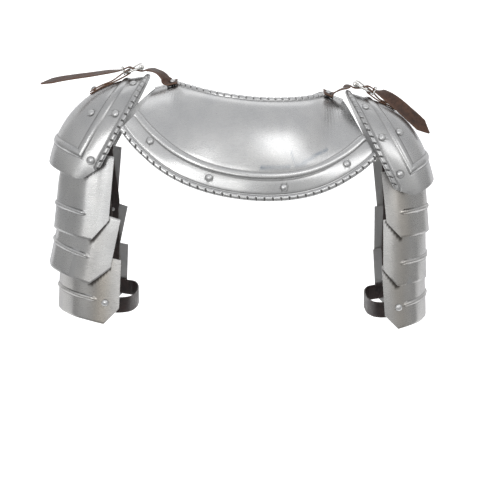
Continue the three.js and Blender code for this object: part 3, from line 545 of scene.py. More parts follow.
def collarBack():
    c, surface = collar, collarSheet(-1)
    columns = evenSpread(surface, 1.0, -1, 1, c["fine"])
    atRim, fromRim = edgeInsets(surface, columns, 1.0, np.linspace(-1, 1, 121))
    atNeck, fromNeck = edgeInsets(surface, columns, 0.0, np.linspace(-1, 1, 241))
    beadRows = c["beadInset"] + np.linspace(-7, 7, 19)
    places = [atRim(d) for d in (*ropeRows, 14, 18, 22, *beadRows)]
    places += [atNeck(d) for d in ropeRows]
    places += between(atNeck(ropeRows[-1]), atRim(beadRows[-1]), np.linspace(0, 1, 26)[1:-1])
    places = np.sort(np.array(places), axis=0)
    spread = np.broadcast_to(columns, places.shape)
    grid = surface(places, spread)
    rimInset, neckInset = fromRim(places), fromNeck(places)
    fade = 1 - smoothStep(np.abs(columns), c["crestS"] - 0.05, c["crestS"] - 0.01)
    rimRope, rimRopeDark = ropeRelief(rimInset, edgeRun(surface, 1.0, columns), c["rimPitch"], 1.0)
    neckRope, neckRopeDark = ropeRelief(neckInset, -edgeRun(surface, 0.0, columns), c["neckPitch"],
                                     fade, 6.6, 8.2)
    bead, beadFootShade = beadRelief(rimInset - c["beadInset"])
    relief = rimRope + neckRope + bead + wobble(grid, 26, 3, 0.10) - edgeLip(rimInset, neckInset)
    rings = rivetRings(grid, [surface(t, s) for t, s in collarRivetPlaces()])
    # darker rope cuts, with painted shade at the bead's feet and round the rivets
    grimeAndShade = np.maximum.reduce([rimRopeDark, neckRopeDark, beadFootShade, rings])
    platePiece("collarBackPlate", "collar_back", "plate", grid, collarNormal(surface, places, spread),
               relief, bead, {"grimeAndShade": (grimeAndShade, 0.12), "smear": (smearMarks(grid), 0)})


# The ears of the front plate lap over the back plate and take the crest rivets
ear = {"s": 0.765, "halfS": 0.07, "reach": 0.15, "lift": 2.6, "rivetS": 0.735, "rivetT": 0.06,
       "blend": 0.3, "start": 0.015}


def collarFront():
    back, front = collarSheet(-1), collarSheet(1)
    fine = ear["s"] + (ear["halfS"] + 0.01) * np.linspace(-1, 1, 41)
    columns = np.concatenate([evenSpread(front, 0.5, -1, 1, 2.0), -fine, fine])
    columns = np.unique(columns.round(5))
    blend = ear["blend"]
    shares = np.concatenate([np.linspace(0, blend, 16), np.linspace(blend, 1, 30)[1:]])
    x = (np.abs(columns) - ear["s"]) / ear["halfS"]
    reach = ear["reach"] * np.sqrt(np.clip(1 - x * x, 0, 1))
    places = ear["start"] - reach * (1 - smoothStep(shares, 0, blend))[:, None]
    places = np.maximum.accumulate(places + shares[:, None] * (1 - ear["start"]), axis=0)
    spread = np.broadcast_to(columns, places.shape)
    onBack, t = (places < 0)[..., None], np.abs(places)
    grid = np.where(onBack, back(t, spread), front(t, spread))
    normal = np.where(onBack, collarNormal(back, t, spread), collarNormal(front, t, spread))
    lift = ear["lift"] * smoothStep(-places, -0.07, -0.005)
    relief = lift + wobble(grid, 30, 8, 0.12)
    relief[[0, -1]] -= 0.25
    platePiece("collarFrontPlate", "collar_front", "plain", grid, normal, relief, lift, {})


collarBack()
collarFront()
print("collar plates built")


# Shoulder cops: an arched plate with a roped edge, and a bead that frames its field
degreeStep = 0.2                 # for the normals of what is measured in degrees
cops = {
    "left": {"ridge": [(141, 15.6), (217.5, 10.4), (269.6, -30.1), (284.1, -102.3)],
             "foot": [(205.3, -103.8), (233.8, -122.5)],
             "border": [(0.088, -16), (0.138, -43), (0.425, -79), (0.138, 43), (0.425, 79)],
             "field": (0.4, 38)},
    "right": {"ridge": [(135.7, -6.4), (181.5, -21.5), (235.7, -22.4), (260.3, -126.2)],
              "foot": [(197.6, -134.2), (225.8, -144)],
              "border": [(0.144, -21), (0.213, -45), (0.413, -74), (0.213, 45), (0.413, 74)],
              "field": (0.488, 38)},
    "deep": (88, 86), "power": 2.3, "beadInset": 34, "pitch": 10, "fine": 0.8, "middle": (190, 0, -110),
}


def copSurface(side):
    c, sign = cops[side], sideSign[side]

    def point(s, angle):
        s, angle = np.broadcast_arrays(np.asarray(s, float), np.radians(np.asarray(angle, float)))
        ridge = bezier(c["ridge"], s)
        foot = vec(*c["foot"][0]) + (vec(*c["foot"][1]) - vec(*c["foot"][0])) * s[..., None]
        span = np.linalg.norm(ridge - foot, axis=-1)
        deep = cops["deep"][0] + (cops["deep"][1] - cops["deep"][0]) * s
        r = superRadius(angle, span, deep, cops["power"])
        w = (r * np.cos(angle) / span)[..., None]
        xz = foot + (ridge - foot) * w
        return np.stack([sign * xz[..., 0], r * np.sin(angle), xz[..., 1]], -1)
    return point


def copNormal(side, s, angle):
    away = vec(sideSign[side] * cops["middle"][0], 0, cops["middle"][2])
    angle = np.clip(angle, -89.5, 89.5)
    return surfaceNormal(copSurface(side), np.asarray(s, float), angle, away, degreeStep)


def copSpot(side, s, angle):
    return copSurface(side)(s, angle), copNormal(side, vec(s), vec(angle))[0]


def copPlate(side):
    c, surface = cops[side], copSurface(side)
    columns = evenSpread(surface, 0.0, -90, 90, cops["fine"])
    line = np.linspace(-90, 90, 121)
    atRope, fromRope = edgeInsets(surface, columns, 0.0, line)
    atHem, fromHem = edgeInsets(surface, columns, 1.0, line)
    beadRows = cops["beadInset"] + np.linspace(-7, 7, 17)
    places = [atRope(d) for d in (*ropeRows, 15, 20, *beadRows)]
    places += [atHem(d) for d in (0, 0.4, 1.2, 5, 10, 15, 20, *beadRows)]
    places += between(atRope(beadRows[-1]), atHem(beadRows[-1]), np.linspace(0, 1, 18)[1:-1])
    places = inOrder(np.clip(np.array(places), 0, 1))
    spread = np.broadcast_to(columns, places.shape)
    grid = surface(places, spread)
    ropeInset, hemInset = fromRope(places), fromHem(places)
    run = edgeRun(surface, 0.0, columns) * sideSign[side]
    roll, ropeDark = ropeRelief(ropeInset, run, cops["pitch"], 1.0)
    bead, beadFootShade = beadRelief(np.minimum(ropeInset, hemInset) - cops["beadInset"])
    relief = roll + bead + wobble(grid, 24, 5 if side == "left" else 6, 0.10) - edgeLip(ropeInset, hemInset)
    centres = [surface(s, angle) for s, angle in c["border"]]
    centres += [surface(c["field"][0], way * c["field"][1]) for way in (-1, 1)]
    # darker rope cuts, with painted shade at the bead's feet and round the rivets
    grimeAndShade = np.maximum.reduce([ropeDark, beadFootShade, rivetRings(grid, centres)])
    platePiece(f"copPlate_{side}", f"cop_{side}", "arm", grid, copNormal(side, places, spread),
               relief, bead, {"grimeAndShade": (grimeAndShade, 0.15)})


for side in sideSign:
    copPlate(side)
print("cops built")


# Lames: three overlapping plates a side, each with a raised rib and cut off corners
lameLook = {"deep": 70, "flare": 7, "power": 2.6, "tuck": 4.5, "tuckTo": 0.4, "ribWide": 7.0, "ribHigh": 2.2,
            "underCop": 48, "shadeWide": (5.6, 2.2), "shadeDeep": 16, "fine": 1.3}
lameKeys = ("side", "n", "x", "z", "out", "flare", "high", "lean", "rise", "top", "cut", "cutS", "rib",
            "ribEnd", "warm")
lames = [dict(zip(lameKeys, row)) for row in [
    ("left", 1, 189.9, -111.7, 79, 2.4, 100.8, 5.3, 9.3, 0.2, 73.4, 0.68, 0.653, 65, 0.05),
    ("left", 2, 180.1, -179.4, 89.3, 0.5, 99.5, 12.3, 8.7, 0, 72.1, 0.7, 0.639, 64.6, 0.2),
    ("left", 3, 180.1, -236.4, 90.7, 0.2, 94.3, 2.7, 14.6, 0, 74.5, 0.721, 0.661, 64.7, 0.8),
    ("right", 1, 181.7, -112.4, 65.3, -1.7, 93.1, 6.3, -2.2, 0, 76.6, 0.757, 0.622, 73.6, 0.6),
    ("right", 2, 185.3, -179.5, 65.3, 2.7, 94.9, 0.5, 7.4, 0, 75.1, 0.738, 0.668, 70.9, 0.5),
    ("right", 3, 183.9, -244.3, 66.8, -3, 93.6, 4.1, 10.5, 0, 76.9, 0.754, 0.667, 68, 0.6),
]]


def sideLames(side):
    return [row for row in lames if row["side"] == side]


def lameWide(lame, s):
    tuck = lameLook["tuck"] * np.maximum(1 - np.asarray(s, float) / lameLook["tuckTo"], 0) ** 2
    return lame["out"] + lame["flare"] * s - tuck


def lameDeep(s):
    return lameLook["deep"] + lameLook["flare"] * s


def lameSurface(lame):
    def point(s, angle):
        s, angle = np.broadcast_arrays(np.asarray(s, float), np.radians(np.asarray(angle, float)))
        wide = lameWide(lame, s)
        r = superRadius(angle, wide, lameDeep(s), lameLook["power"])
        out = r * np.cos(angle)
        z = -lame["high"] * s + lame["rise"] * out / wide
        lean = math.radians(lame["lean"])
        x = lame["x"] + out * math.cos(lean) - z * math.sin(lean)
        level = lame["z"] + out * math.sin(lean) + z * math.cos(lean)
        return np.stack([sideSign[lame["side"]] * x, r * np.sin(angle), level], -1)
    return point


def lameNormal(lame, s, angle):
    away = vec(sideSign[lame["side"]] * (lame["x"] + 25), 0, lame["z"] - 50)
    around = np.asarray(angle, float)
    return surfaceNormal(lameSurface(lame), np.asarray(s, float), around, away, degreeStep)


def lameAngle(lame, s, out):  # angle at which the lame lies a distance out from its inner edge
    power = lameLook["power"]
    y = lameDeep(s) * (1 - (out / lameWide(lame, s)) ** power) ** (1 / power)
    return math.degrees(math.atan2(y, out))


def lameSpot(lame, s, out, way):  # a point that far out on a lame, and its normal
    angle = way * lameAngle(lame, s, out)
    return lameSurface(lame)(s, angle), lameNormal(lame, vec(s), vec(angle))[0]


def coverEdges(lame):  # the cut corners of the plate that lies over this lame
    edges = []
    for way in (-1, 1):
        if lame["n"] == 1:
            angle = np.linspace(lameLook["underCop"], 90, 60)
            edges.append(copSurface(lame["side"])(np.ones(60), way * angle))
            continue
        over = sideLames(lame["side"])[lame["n"] - 2]
        angle = np.linspace(over["cut"], 90, 60)
        edges.append(lameSurface(over)(lameHem(over, angle), way * angle))
    return edges


def lameHem(lame, angle):  # the lower edge rises past the cut corner
    over = np.maximum(np.abs(angle) - lame["cut"], 0) / (90 - lame["cut"])
    return 1 + (lame["cutS"] - 1) * over


def coverShade(lame, grid, normal):  # painted shade: a dark wedge under those corners, widest at the tip
    shade = np.zeros(grid.shape[:-1])
    widest, narrowest = lameLook["shadeWide"]
    for edge in coverEdges(lame):
        for k, point in enumerate(edge):
            wide = widest + (narrowest - widest) * k / len(edge)
            away = grid - point
            height = np.sum(away * normal, axis=-1)
            gap = np.linalg.norm(away - normal * height[..., None], axis=-1)
            dark = 1.15 * (1 - smoothStep(gap, 0.6 * wide, wide)) * (np.abs(height) < lameLook["shadeDeep"])
            shade = np.maximum(shade, dark)
    return shade


def lamePlate(lame):
    surface = lameSurface(lame)
    edges = lame["cut"] + vec(-0.5, 0, 0.5)
    columns = np.concatenate([evenSpread(surface, 0.5, -90, 90, lameLook["fine"]), edges, -edges])
    columns = np.unique(columns.round(4))
    hem = lameHem(lame, columns)
    rib, start = hem * lame["rib"], -lame["top"] + 0 * columns
    places = [start, start + 0.004, *between(start, rib, np.linspace(0, 0.9, 14)[1:])]
    places += [rib + d for d in np.linspace(-6, 6, 21) / lame["high"]]
    places += [*between(rib, hem, np.linspace(0.22, 1, 9)[:-1]), hem - 0.006, hem]
    places = inOrder(np.minimum(np.array(places), hem))
    spread = np.broadcast_to(columns, places.shape)
    grid, normal = surface(places, spread), lameNormal(lame, places, spread)
    offset = (places - rib) * lame["high"]
    taper = 1 - smoothStep(np.abs(columns), lame["ribEnd"] - 3.5, lame["ribEnd"] + 1.5)
    halfWide = lameLook["ribWide"] / 2 * (0.35 + 0.65 * taper)
    ridge = roundRidge(offset, halfWide) * taper * lameLook["ribHigh"]
    foot = np.clip(1 - np.abs(np.abs(offset) - halfWide - 0.2) / 0.8, 0, 1) * taper
    seed = 20 + lame["n"] + (10 if lame["side"] == "left" else 0)
    run = edgeRun(surface, 0.5, columns)
    bend = 0.55 * np.sin(run / 8.6 + 1.7 * seed + 0.8 * places) + 0.3 * np.sin(run / 4.9 + seed)
    relief = ridge + wobble(grid, 22, seed, 0.14) + bend - 0.4
    relief[[0, -1]] -= 0.3
    # painted shade beside the rib's feet and under the corners of the plate above
    grimeAndShade = np.maximum(0.5 * foot, coverShade(lame, grid, normal))
    fold = np.exp(-((np.abs(columns) - lame["cut"] + 4) / 9) ** 2)
    warm = np.broadcast_to(lame["warm"] * (0.3 + fold), grimeAndShade.shape)
    tag = f"{lame['side']}_{lame['n']}"
    platePiece(f"lamePlate_{tag}", f"lame_{tag}", "arm", grid, normal, relief, ridge,
               {"grimeAndShade": (grimeAndShade, 0.15), "warm": (warm, 0)})


for lame in lames:
    lamePlate(lame)
print("lames built")


# Leather strips along smooth routes

def smoothRoute(stations, step):
    # centripetal curve through stations of (point, normal), a step apart
    p = np.array([q[0] for q in stations], float)
    n = np.array([q[1] for q in stations], float)
    ends = np.concatenate([[2 * p[0] - p[1]], p, [2 * p[-1] - p[-2]]])
    points, normals = [], []
    for i in range(len(p) - 1):
        a, b, c, d = ends[i:i + 4]
        k0, k1, k2 = (max(np.linalg.norm(v - u) ** 0.5, 1e-4) for u, v in ((a, b), (b, c), (c, d)))
        m1 = ((b - a) / k0 - (c - a) / (k0 + k1) + (c - b) / k1) * k1
        m2 = ((c - b) / k1 - (d - b) / (k1 + k2) + (d - c) / k2) * k1
        count = max(1, int(round(np.linalg.norm(c - b) / step)))
        for t in np.arange(count) / count:
            points.append(b + m1 * t + (-3 * b + 3 * c - 2 * m1 - m2) * t * t
                          + (2 * b - 2 * c + m1 + m2) * t ** 3)
            normals.append(n[i] * (1 - t) + n[i + 1] * t)
    points.append(p[-1])
    normals.append(n[-1])
    return np.array(points), unit(np.array(normals))


def cornerLoop(x0, x1, y0, y1, corner, steps=8):  # outline of a rectangle with round corners
    loop = []
    for cx, cy, start in ((x1 - corner, y1 - corner, 0), (x0 + corner, y1 - corner, 90),
                          (x0 + corner, y0 + corner, 180), (x1 - corner, y0 + corner, 270)):
        for turn in np.radians(start + np.linspace(0, 90, steps + 1)):
            loop.append((cx + corner * math.cos(turn), cy + corner * math.sin(turn)))
    return loop


def stripSection(wide):  # rounded flat section, with points spread over its two faces
    thick = leatherThick
    section = np.array(cornerLoop(-wide / 2, wide / 2, -thick / 2, thick / 2, 0.7, 3))
    dense = []
    for a, b in zip(section, np.roll(section, -1, 0)):
        count = 7 if np.linalg.norm(b - a) > wide / 2 else 1
        dense += between(a, b, np.arange(count) / count)
    return np.array(dense)


def leatherStrip(name, stations, wide, look, step=1.6, tip=0, wavy=0.25, seed=1, slots=(), node=None):
    points, normals = smoothRoute(stations, step)
    along = unit(np.gradient(points, axis=0))
    across = unit(np.cross(normals, along))
    up = np.cross(along, across)
    run = runAlong(points)
    left = run[-1] - run
    share = np.where(left < tip, 0.10 + 0.90 * left / max(tip, 1e-6), 1.0)
    section = stripSection(wide)
    wander = np.sin(run / 17 + seed) * wavy + np.sin(run / 6.3 + 2 * seed) * wavy * 0.4
    ends = np.minimum(1, 0.75 + 0.25 * np.minimum(run, left) / 0.8)
    x = section[None, :, 0] * share[:, None] + wander[:, None] * (np.abs(section[:, 0]) > wide * 0.3)
    y = section[None, :, 1] * ends[:, None]
    rings = points[:, None] + across[:, None] * x[..., None] + up[:, None] * y[..., None]
    solid, faces = tube(rings, points[0], points[-1])
    edge = np.clip((np.abs(section[:, 0]) - (wide / 2 - 0.9)) / 0.5, 0, 1)
    marks = {"edge": np.concatenate([np.tile(edge, len(rings)) * 0.75, [0.8, 0.8]])}
    piece = makePiece(name, solid, faces, look, marks, sharp=55, node=node)
    for slot in slots:
        cutSlot(piece, *slot)


def cutSlot(piece, matrix, halfX, halfY, halfZ):  # a slot with round ends, cut through a strip
    outline = []
    for a in np.radians(range(0, 360, 30)):
        x = math.copysign(halfX - halfY, math.cos(a)) + halfY * math.cos(a)
        outline.append((x, halfY * math.sin(a)))
    points = moved(np.array([(x, y, z) for z in (-halfZ, halfZ) for x, y in outline]), matrix)
    count = len(outline)
    mesh = bpy.data.meshes.new("slotCutter")
    sides = [(k, (k + 1) % count, count + (k + 1) % count, count + k) for k in range(count)]
    mesh.from_pydata([tuple(p * mm) for p in points], [],
                     [*sides, tuple(range(count))[::-1], tuple(range(count, 2 * count))])
    cutter = addObject("slotCutter", mesh)
    modifier = piece.modifiers.new("slot", "BOOLEAN")
    modifier.operation = "DIFFERENCE"
    modifier.solver = "EXACT"
    modifier.object = cutter
    bpy.context.view_layer.update()
    graph = bpy.context.evaluated_depsgraph_get()
    cutMesh = bpy.data.meshes.new_from_object(piece.evaluated_get(graph))
    piece.modifiers.clear()
    piece.data = cutMesh
    bpy.data.objects.remove(cutter)


# Hidden leathers that carry the lames, and the bands round the arms
carrier = {"wide": 16, "out": 21, "below": 10, "end": 0.68, "slack": 1.6, "nod": 1.5, "bandWide": 22,
           "bulge": 21, "bandOut": 4}
lastOut = carrier["out"] - 1       # the strips lie a little further in at the lowest lame


def carrierRow(lame):  # where the strip is riveted to a lame
    if lame["n"] == 3:
        return carrier["end"], lastOut
    return carrier["below"] / lame["high"] - lame["top"], carrier["out"]


def lameLeather(side, way, word):
    depth = half + clear + carrier["slack"] + leatherThick / 2
    fieldS, fieldAngle = cops[side]["field"]
    spots = [(copSpot(side, fieldS, way * (fieldAngle + step)), depth) for step in (-5, 0, 5)]
    for lame in sideLames(side):
        below = carrier["below"] / lame["high"] - lame["top"]
        spots.append((lameSpot(lame, -lame["top"], carrier["out"], way), depth + carrier["nod"]))
        spots.append((lameSpot(lame, below, carrier["out"], way), depth))
    lowest = sideLames(side)[-1]
    spots += [(lameSpot(lowest, carrier["end"] + past, lastOut, way), depth) for past in (0, 0.1)]
    stations = [(p - n * inside, n) for (p, n), inside in spots]
    leatherStrip(f"lameStrip_{side}_{word}", stations, carrier["wide"], "band", step=2.5, wavy=0.2,
                 node=f"lame_leather_{side}_{word}")


def armBand(side):
    lame, sign = sideLames(side)[-1], sideSign[side]
    depth = half + clear * 2 + carrier["slack"] + leatherThick * 1.5
    bandOut, bulge = carrier["bandOut"], carrier["bulge"]

    def halfWay(way):
        spots = [lameSpot(lame, carrier["end"], out, way) for out in (lastOut + 10, lastOut, bandOut)]
        stations = [(p - n * depth, n) for p, n in spots]
        p = stations[2][0]
        for a in np.radians([30, 60, 80]):
            place = vec(p[0] - sign * (bandOut + bulge * math.sin(a)),
                        way * abs(p[1]) * math.cos(a) ** 0.8, p[2] - 2 * math.sin(a))
            stations.append((place, unit(vec(-sign * math.sin(a), way * math.cos(a), 0))))
        return stations

    back, front = halfWay(-1), halfWay(1)
    p = back[2][0]
    middle = (vec(p[0] - sign * (bandOut + bulge), 0, p[2] - 2), vec(-sign, 0, 0))
    leatherStrip(f"armBand_{side}", [*back, middle, *front[::-1]], carrier["bandWide"], "band",
                 step=2.0, wavy=0.35, seed=4)


for side in sideSign:
    armBand(side)
    for way, word in ((-1, "back"), (1, "front")):
        lameLeather(side, way, word)
print("leathers and arm bands built")


# Buckles: wire frame with a roller, a tongue and a keeper, on a chape and a neck strap.
# Rows of root and tail are x, z, y and the roll in degrees.
straps = {
    "left": {"bar": (172, 21.7), "roller": (153.3, 28.4),
             "root": [(119, 13.5, -13, 0), (126, 20.5, -9.5, 0), (135.5, 24.3, -5, 0)],
             "tail": [(200, 22, 0, 11), (226.4, 18, -1, 15), (268.9, 12, -3, 18), (296, 5.5, -4, 18)],
             "chape": (0.25, 0.43), "chapeRivet": 0.39, "seed": 3},
    "right": {"bar": (169, -5.6), "roller": (150, 4.5),
              "root": [(121.5, -6.4, -1, 0), (128, -3.2, -1.5, 0), (134, -1.2, -1.5, 0)],
              "tail": [(183, -5, -4, 20), (195, -12.3, -11, 46), (209, -23.4, -15.5, 60),
                       (230, -41.3, -16.5, 68), (254, -63.5, -15, 68)],
              "chape": (0.33, 0.5), "chapeRivet": 0.47, "seed": 7},
    "wide": 19, "tip": 17,
}
buckle = {"wire": 1.5, "roller": 3.8, "tongue": 1.1, "halfWide": 12.2, "keeper": 0.9,
          "keeperAt": (-5.6, -1.3), "rollerEnds": [(0, 0.5), (0.25, 0.15), (0.9, 0), (1.6, 0),
                                                   (1.9, 0.18), (2.3, 0)]}
foldRadius = buckle["wire"] + clear + leatherThick / 2
strapOver = foldRadius + leatherThick + 1.4
strapUnder = buckle["roller"] + 2.4 * clear + leatherThick / 2


def buckleMatrix(side):  # x from the bar to the roller, z out from the shoulder
    (barX, barZ), (rollX, rollZ) = straps[side]["bar"], straps[side]["roller"]
    sign = sideSign[side]
    x = vec(sign * (rollX - barX), 0, rollZ - barZ)
    long = np.linalg.norm(x)
    x = x / long
    z = np.cross(x, vec(0, 1, 0))
    z = z if z[2] > 0 else -z
    matrix = np.eye(4)
    matrix[:3, 0], matrix[:3, 1], matrix[:3, 2] = x, np.cross(z, x), z
    matrix[:3, 3] = (sign * barX, 0, barZ)
    return matrix, long


def moved(points, matrix):
    return points @ matrix[:3, :3].T + matrix[:3, 3]


def wirePiece(path, normal, radius, facets, closed=False):
    # points and faces of a round wire along a path in a plane
    path = np.asarray(path, float)
    along = np.roll(path, -1, 0) - np.roll(path, 1, 0) if closed else np.gradient(path, axis=0)
    side = unit(np.cross(unit(along), normal))
    angle = 2 * np.pi * np.arange(facets) / facets
    r = np.broadcast_to(np.asarray(radius, float).reshape(-1, 1), (len(path), 1))
    rings = (path[:, None] + side[:, None] * (r * np.cos(angle))[..., None]
             + normal * (r * np.sin(angle))[..., None])
    if closed:
        return rings.reshape(-1, 3), [gridFaces(len(path), facets, loopRows=True, loopColumns=True)]
    return tube(rings, path[0], path[-1])


def joinParts(parts):
    points, faces, start = [], [], 0
    for p, f in parts:
        points.append(p)
        faces += [face + start for face in f]
        start += len(p)
    return np.concatenate(points), faces


def buckleFrame(long):
    wide = buckle["halfWide"]
    ring = [(x, y, 0) for x, y in cornerLoop(0, long, -wide, wide, 3.2)]
    reach = wide - buckle["wire"] - 0.6
    inward, less = np.array(buckle["rollerEnds"]).T
    rollerAt = np.concatenate([inward - reach, (reach - inward)[::-1]])
    radii = buckle["roller"] - np.concatenate([less, less[::-1]])
    return joinParts([wirePiece(ring, vec(0, 0, 1), buckle["wire"], 16, closed=True),
                      wirePiece([(long, y, 0) for y in rollerAt], vec(0, 0, 1), radii, 28)])


def buckleTongue(long):
    wrap = buckle["wire"] + clear + buckle["tongue"]
    rest = buckle["roller"] + clear + buckle["tongue"]
    keys = [(wrap * math.cos(a), 0, wrap * math.sin(a)) for a in np.radians([305, 270, 235, 200])]
    keys += [(-wrap, 0, 0.4), (-wrap * 0.7, 0, wrap * 0.7), (0, 0, wrap), (long * 0.5, 0, wrap + 1),
             (long - 2, 0, rest + 0.2), (long + 2.5, 0, rest - 0.3)]
    path, _ = smoothRoute([(vec(*k), vec(0, 1, 0)) for k in keys], 0.5)
    run = runAlong(path)
    radius = buckle["tongue"] * (0.55 + 0.45 * smoothStep(run[-1] - run, 0, 5))
    return wirePiece(path, vec(0, 1, 0), radius, 14)


def strapKeeper():
    keeperX, low = buckle["keeperAt"]
    high = strapOver + leatherThick / 2 + clear + buckle["keeper"] + 1.4
    reach = straps["wide"] / 2 + clear + buckle["keeper"] + 0.9
    loop = [(keeperX, y, z) for y, z in cornerLoop(-reach, reach, low, high, 1.3, 5)]
    return wirePiece(loop, vec(1, 0, 0), buckle["keeper"], 12, closed=True)


def buckleParts(side):
    matrix, long = buckleMatrix(side)
    for name, (points, faces) in (("buckleFrame", buckleFrame(long)), ("buckleTongue", buckleTongue(long)),
                                  ("strapKeeper", strapKeeper())):
        makePiece(f"{name}_{side}", moved(points, matrix), faces, "buckle")


def chapeLoop(side):
    matrix, _ = buckleMatrix(side)
    start, end = straps[side]["chape"]
    middle = (start + end) / 2
    low = half + clear + leatherThick / 2
    high = low + leatherThick + 0.5
    under = [copSpot(side, s, 0.0) for s in (end, middle, start)]
    over = [copSpot(side, s, 0.0) for s in (start, middle, end - 0.01)]
    stations = [(p + n * low, n) for p, n in under]
    for a in np.radians([-90, -45, 0, 45, 90]):
        out = vec(math.cos(a), 0, math.sin(a))
        stations.append((moved(foldRadius * out, matrix), -(matrix[:3, :3] @ out)))
    stations += [(p + n * high, -n) for p, n in over]
    leatherStrip(f"chape_{side}", stations, straps["wide"], "chape", step=1.2, wavy=0.15, seed=2,
                 slots=[(matrix, foldRadius + 2.5, buckle["tongue"] + 0.5, 6)])


def neckStrap(side):
    matrix, long = buckleMatrix(side)
    sign, row = sideSign[side], straps[side]
    seat, n = collarSpot(ear["rivetT"], sign * ear["rivetS"])
    outward = unit(vec(sign, 0, 0) - n * sign * n[0])
    height = ear["lift"] + half + clear * 2 + leatherThick / 2
    stations = [(seat + outward * d + n * height, n) for d in (-7, 0, 5.6)]

    def world(x, z, y, roll):
        a = math.radians(roll)
        return vec(sign * x, y, z), unit(vec(sign * 0.2 * math.cos(a), -math.sin(a), math.cos(a)))

    def local(x, z, bend):
        a = math.radians(bend)
        return moved(vec(x, 0, z), matrix), matrix[:3, :3] @ vec(math.sin(a), 0, math.cos(a))

    stations += [world(*q) for q in row["root"]]
    stations += [local(long + 7, -strapUnder - 0.4, 0), local(long, -strapUnder, 0),
                 local(long * 0.62, -1.2, 35), local(long * 0.2, strapOver - 0.2, 15),
                 local(-2, strapOver, -4), local(-9, strapOver - 0.2, 0)]
    stations += [world(*q) for q in row["tail"]]
    hole = matrix.copy()
    hole[:3, 3] = moved(vec(long * 0.4 - 1, 0, 2), matrix)
    leatherStrip(f"neckStrap_{side}", stations, straps["wide"], "strap", step=1.4, tip=straps["tip"],
                 wavy=0.3, seed=row["seed"], slots=[(hole, long * 0.4, buckle["tongue"] + 0.6, 7)])


for side in sideSign:
    buckleParts(side)
    chapeLoop(side)
print("buckles and chapes built")


# Rivets: domed heads that were hammered down, with a shank and a peened end inside
rivet = {"head": 5.2, "rise": 3.0, "shank": 2.0, "peen": 3.0, "small": 4.2, "hidden": 4.0, "segments": 32,
         "top": half + 0.12, "low": -half - 0.3, "tilt": 0.14, "dome": [6, 16, 28, 40, 52, 64, 75, 84, 90],
         "brim": 0.12, "brimIn": 0.985, "peenIn": 0.8, "peenHigh": 0.7, "peenTip": 1.0,
         "flatRise": 1.0, "flatBulge": 0.85, "footShadeHigh": 0.7, "dirt": 0.7}


def rivetPiece(name, spot, top=rivet["top"], low=rivet["low"], head=rivet["head"], flat=False):
    point, normal = spot
    rise, bulge = (rivet["flatRise"], rivet["flatBulge"]) if flat else (rivet["rise"], 1.0)
    brim, crown, tip = top - rivet["brim"], top + rise, low - rivet["peenTip"]
    profile = [(head * math.sin(a), top + rise * math.cos(a) ** bulge) for a in np.radians(rivet["dome"])]
    profile += [(head * rivet["brimIn"], brim), (rivet["shank"], brim), (rivet["shank"], low),
                (rivet["peen"], low), (rivet["peen"] * rivet["peenIn"], low - rivet["peenHigh"])]
    x = unit(np.cross(vec(0, 1, 0) if abs(normal[1]) < 0.8 else vec(1, 0, 0), normal))
    y = np.cross(normal, x)
    tiltX, tiltY = np.random.default_rng(sum(map(ord, name))).uniform(-rivet["tilt"], rivet["tilt"], 2)
    angle = 2 * np.pi * np.arange(rivet["segments"]) / rivet["segments"]
    rings = []
    for r, h in profile:
        sag = (tiltX * np.cos(angle) + tiltY * np.sin(angle)) * r / head * (h > top)
        ring = point + r * (np.cos(angle)[:, None] * x + np.sin(angle)[:, None] * y)
        rings.append(ring + normal * (h + sag)[:, None])
    points, faces = tube(np.array(rings), point + normal * crown, point + normal * tip)
    heights = np.array([*np.repeat([h for _, h in profile], len(angle)), crown, tip])
    # the dome is darkened near the plate as painted shade
    grimeAndShade = np.clip(1 - (heights - top) / rivet["footShadeHigh"], 0, 1) * rivet["dirt"]
    makePiece(name, points, faces, "rivet", {"grimeAndShade": grimeAndShade}, sharp=50)


def plateRivets():
    for k, (t, s) in enumerate(collarRivetPlaces(), 1):
        rivetPiece(f"collarRivet_{k}", collarSpot(t, s))
    for side in sideSign:
        for k, (s, angle) in enumerate(cops[side]["border"], 1):
            rivetPiece(f"copRivet_{side}_{k}", copSpot(side, s, angle))


def leatherRivets(side, way, word):
    inside = half + clear + carrier["slack"] + leatherThick + 0.2
    s, angle = cops[side]["field"]
    rivetPiece(f"copLeatherRivet_{side}_{word}", copSpot(side, s, way * angle), low=-inside)
    for lame in sideLames(side):
        name, spot = f"lameRivet_{side}_{word}_{lame['n']}", lameSpot(lame, *carrierRow(lame), way)
        if lame["n"] == 3:
            rivetPiece(name, spot, low=-inside - clear - leatherThick)
        else:
            rivetPiece(name, spot, low=-inside, head=rivet["hidden"], flat=True)


def strapRivets(side):
    top = ear["lift"] + half + clear * 2 + leatherThick + 0.1
    rivetPiece(f"crestRivet_{side}", collarSpot(ear["rivetT"], sideSign[side] * ear["rivetS"]), top,
               head=rivet["small"])
    top = half + clear + leatherThick * 2 + 0.6
    rivetPiece(f"chapeRivet_{side}", copSpot(side, straps[side]["chapeRivet"], 0.0), top,
               head=rivet["small"])


plateRivets()
for side in sideSign:
    for way, word in ((-1, "back"), (1, "front")):
        leatherRivets(side, way, word)
for side in sideSign:
    neckStrap(side)
    strapRivets(side)
print("rivets and neck straps built")


# Floor, light and camera
view = {"target": (-14, 0, -219), "distance": 2200, "elevation": 9, "lens": 114.6}
room = {"floorZ": -620, "frontY": -700, "backY": 3600, "top": 4200, "halfWide": 4000, "bend": 500,
        "colour": grey(0.95), "front": grey(0.45), "shadeY": (-400, -100), "glow": 0.5}


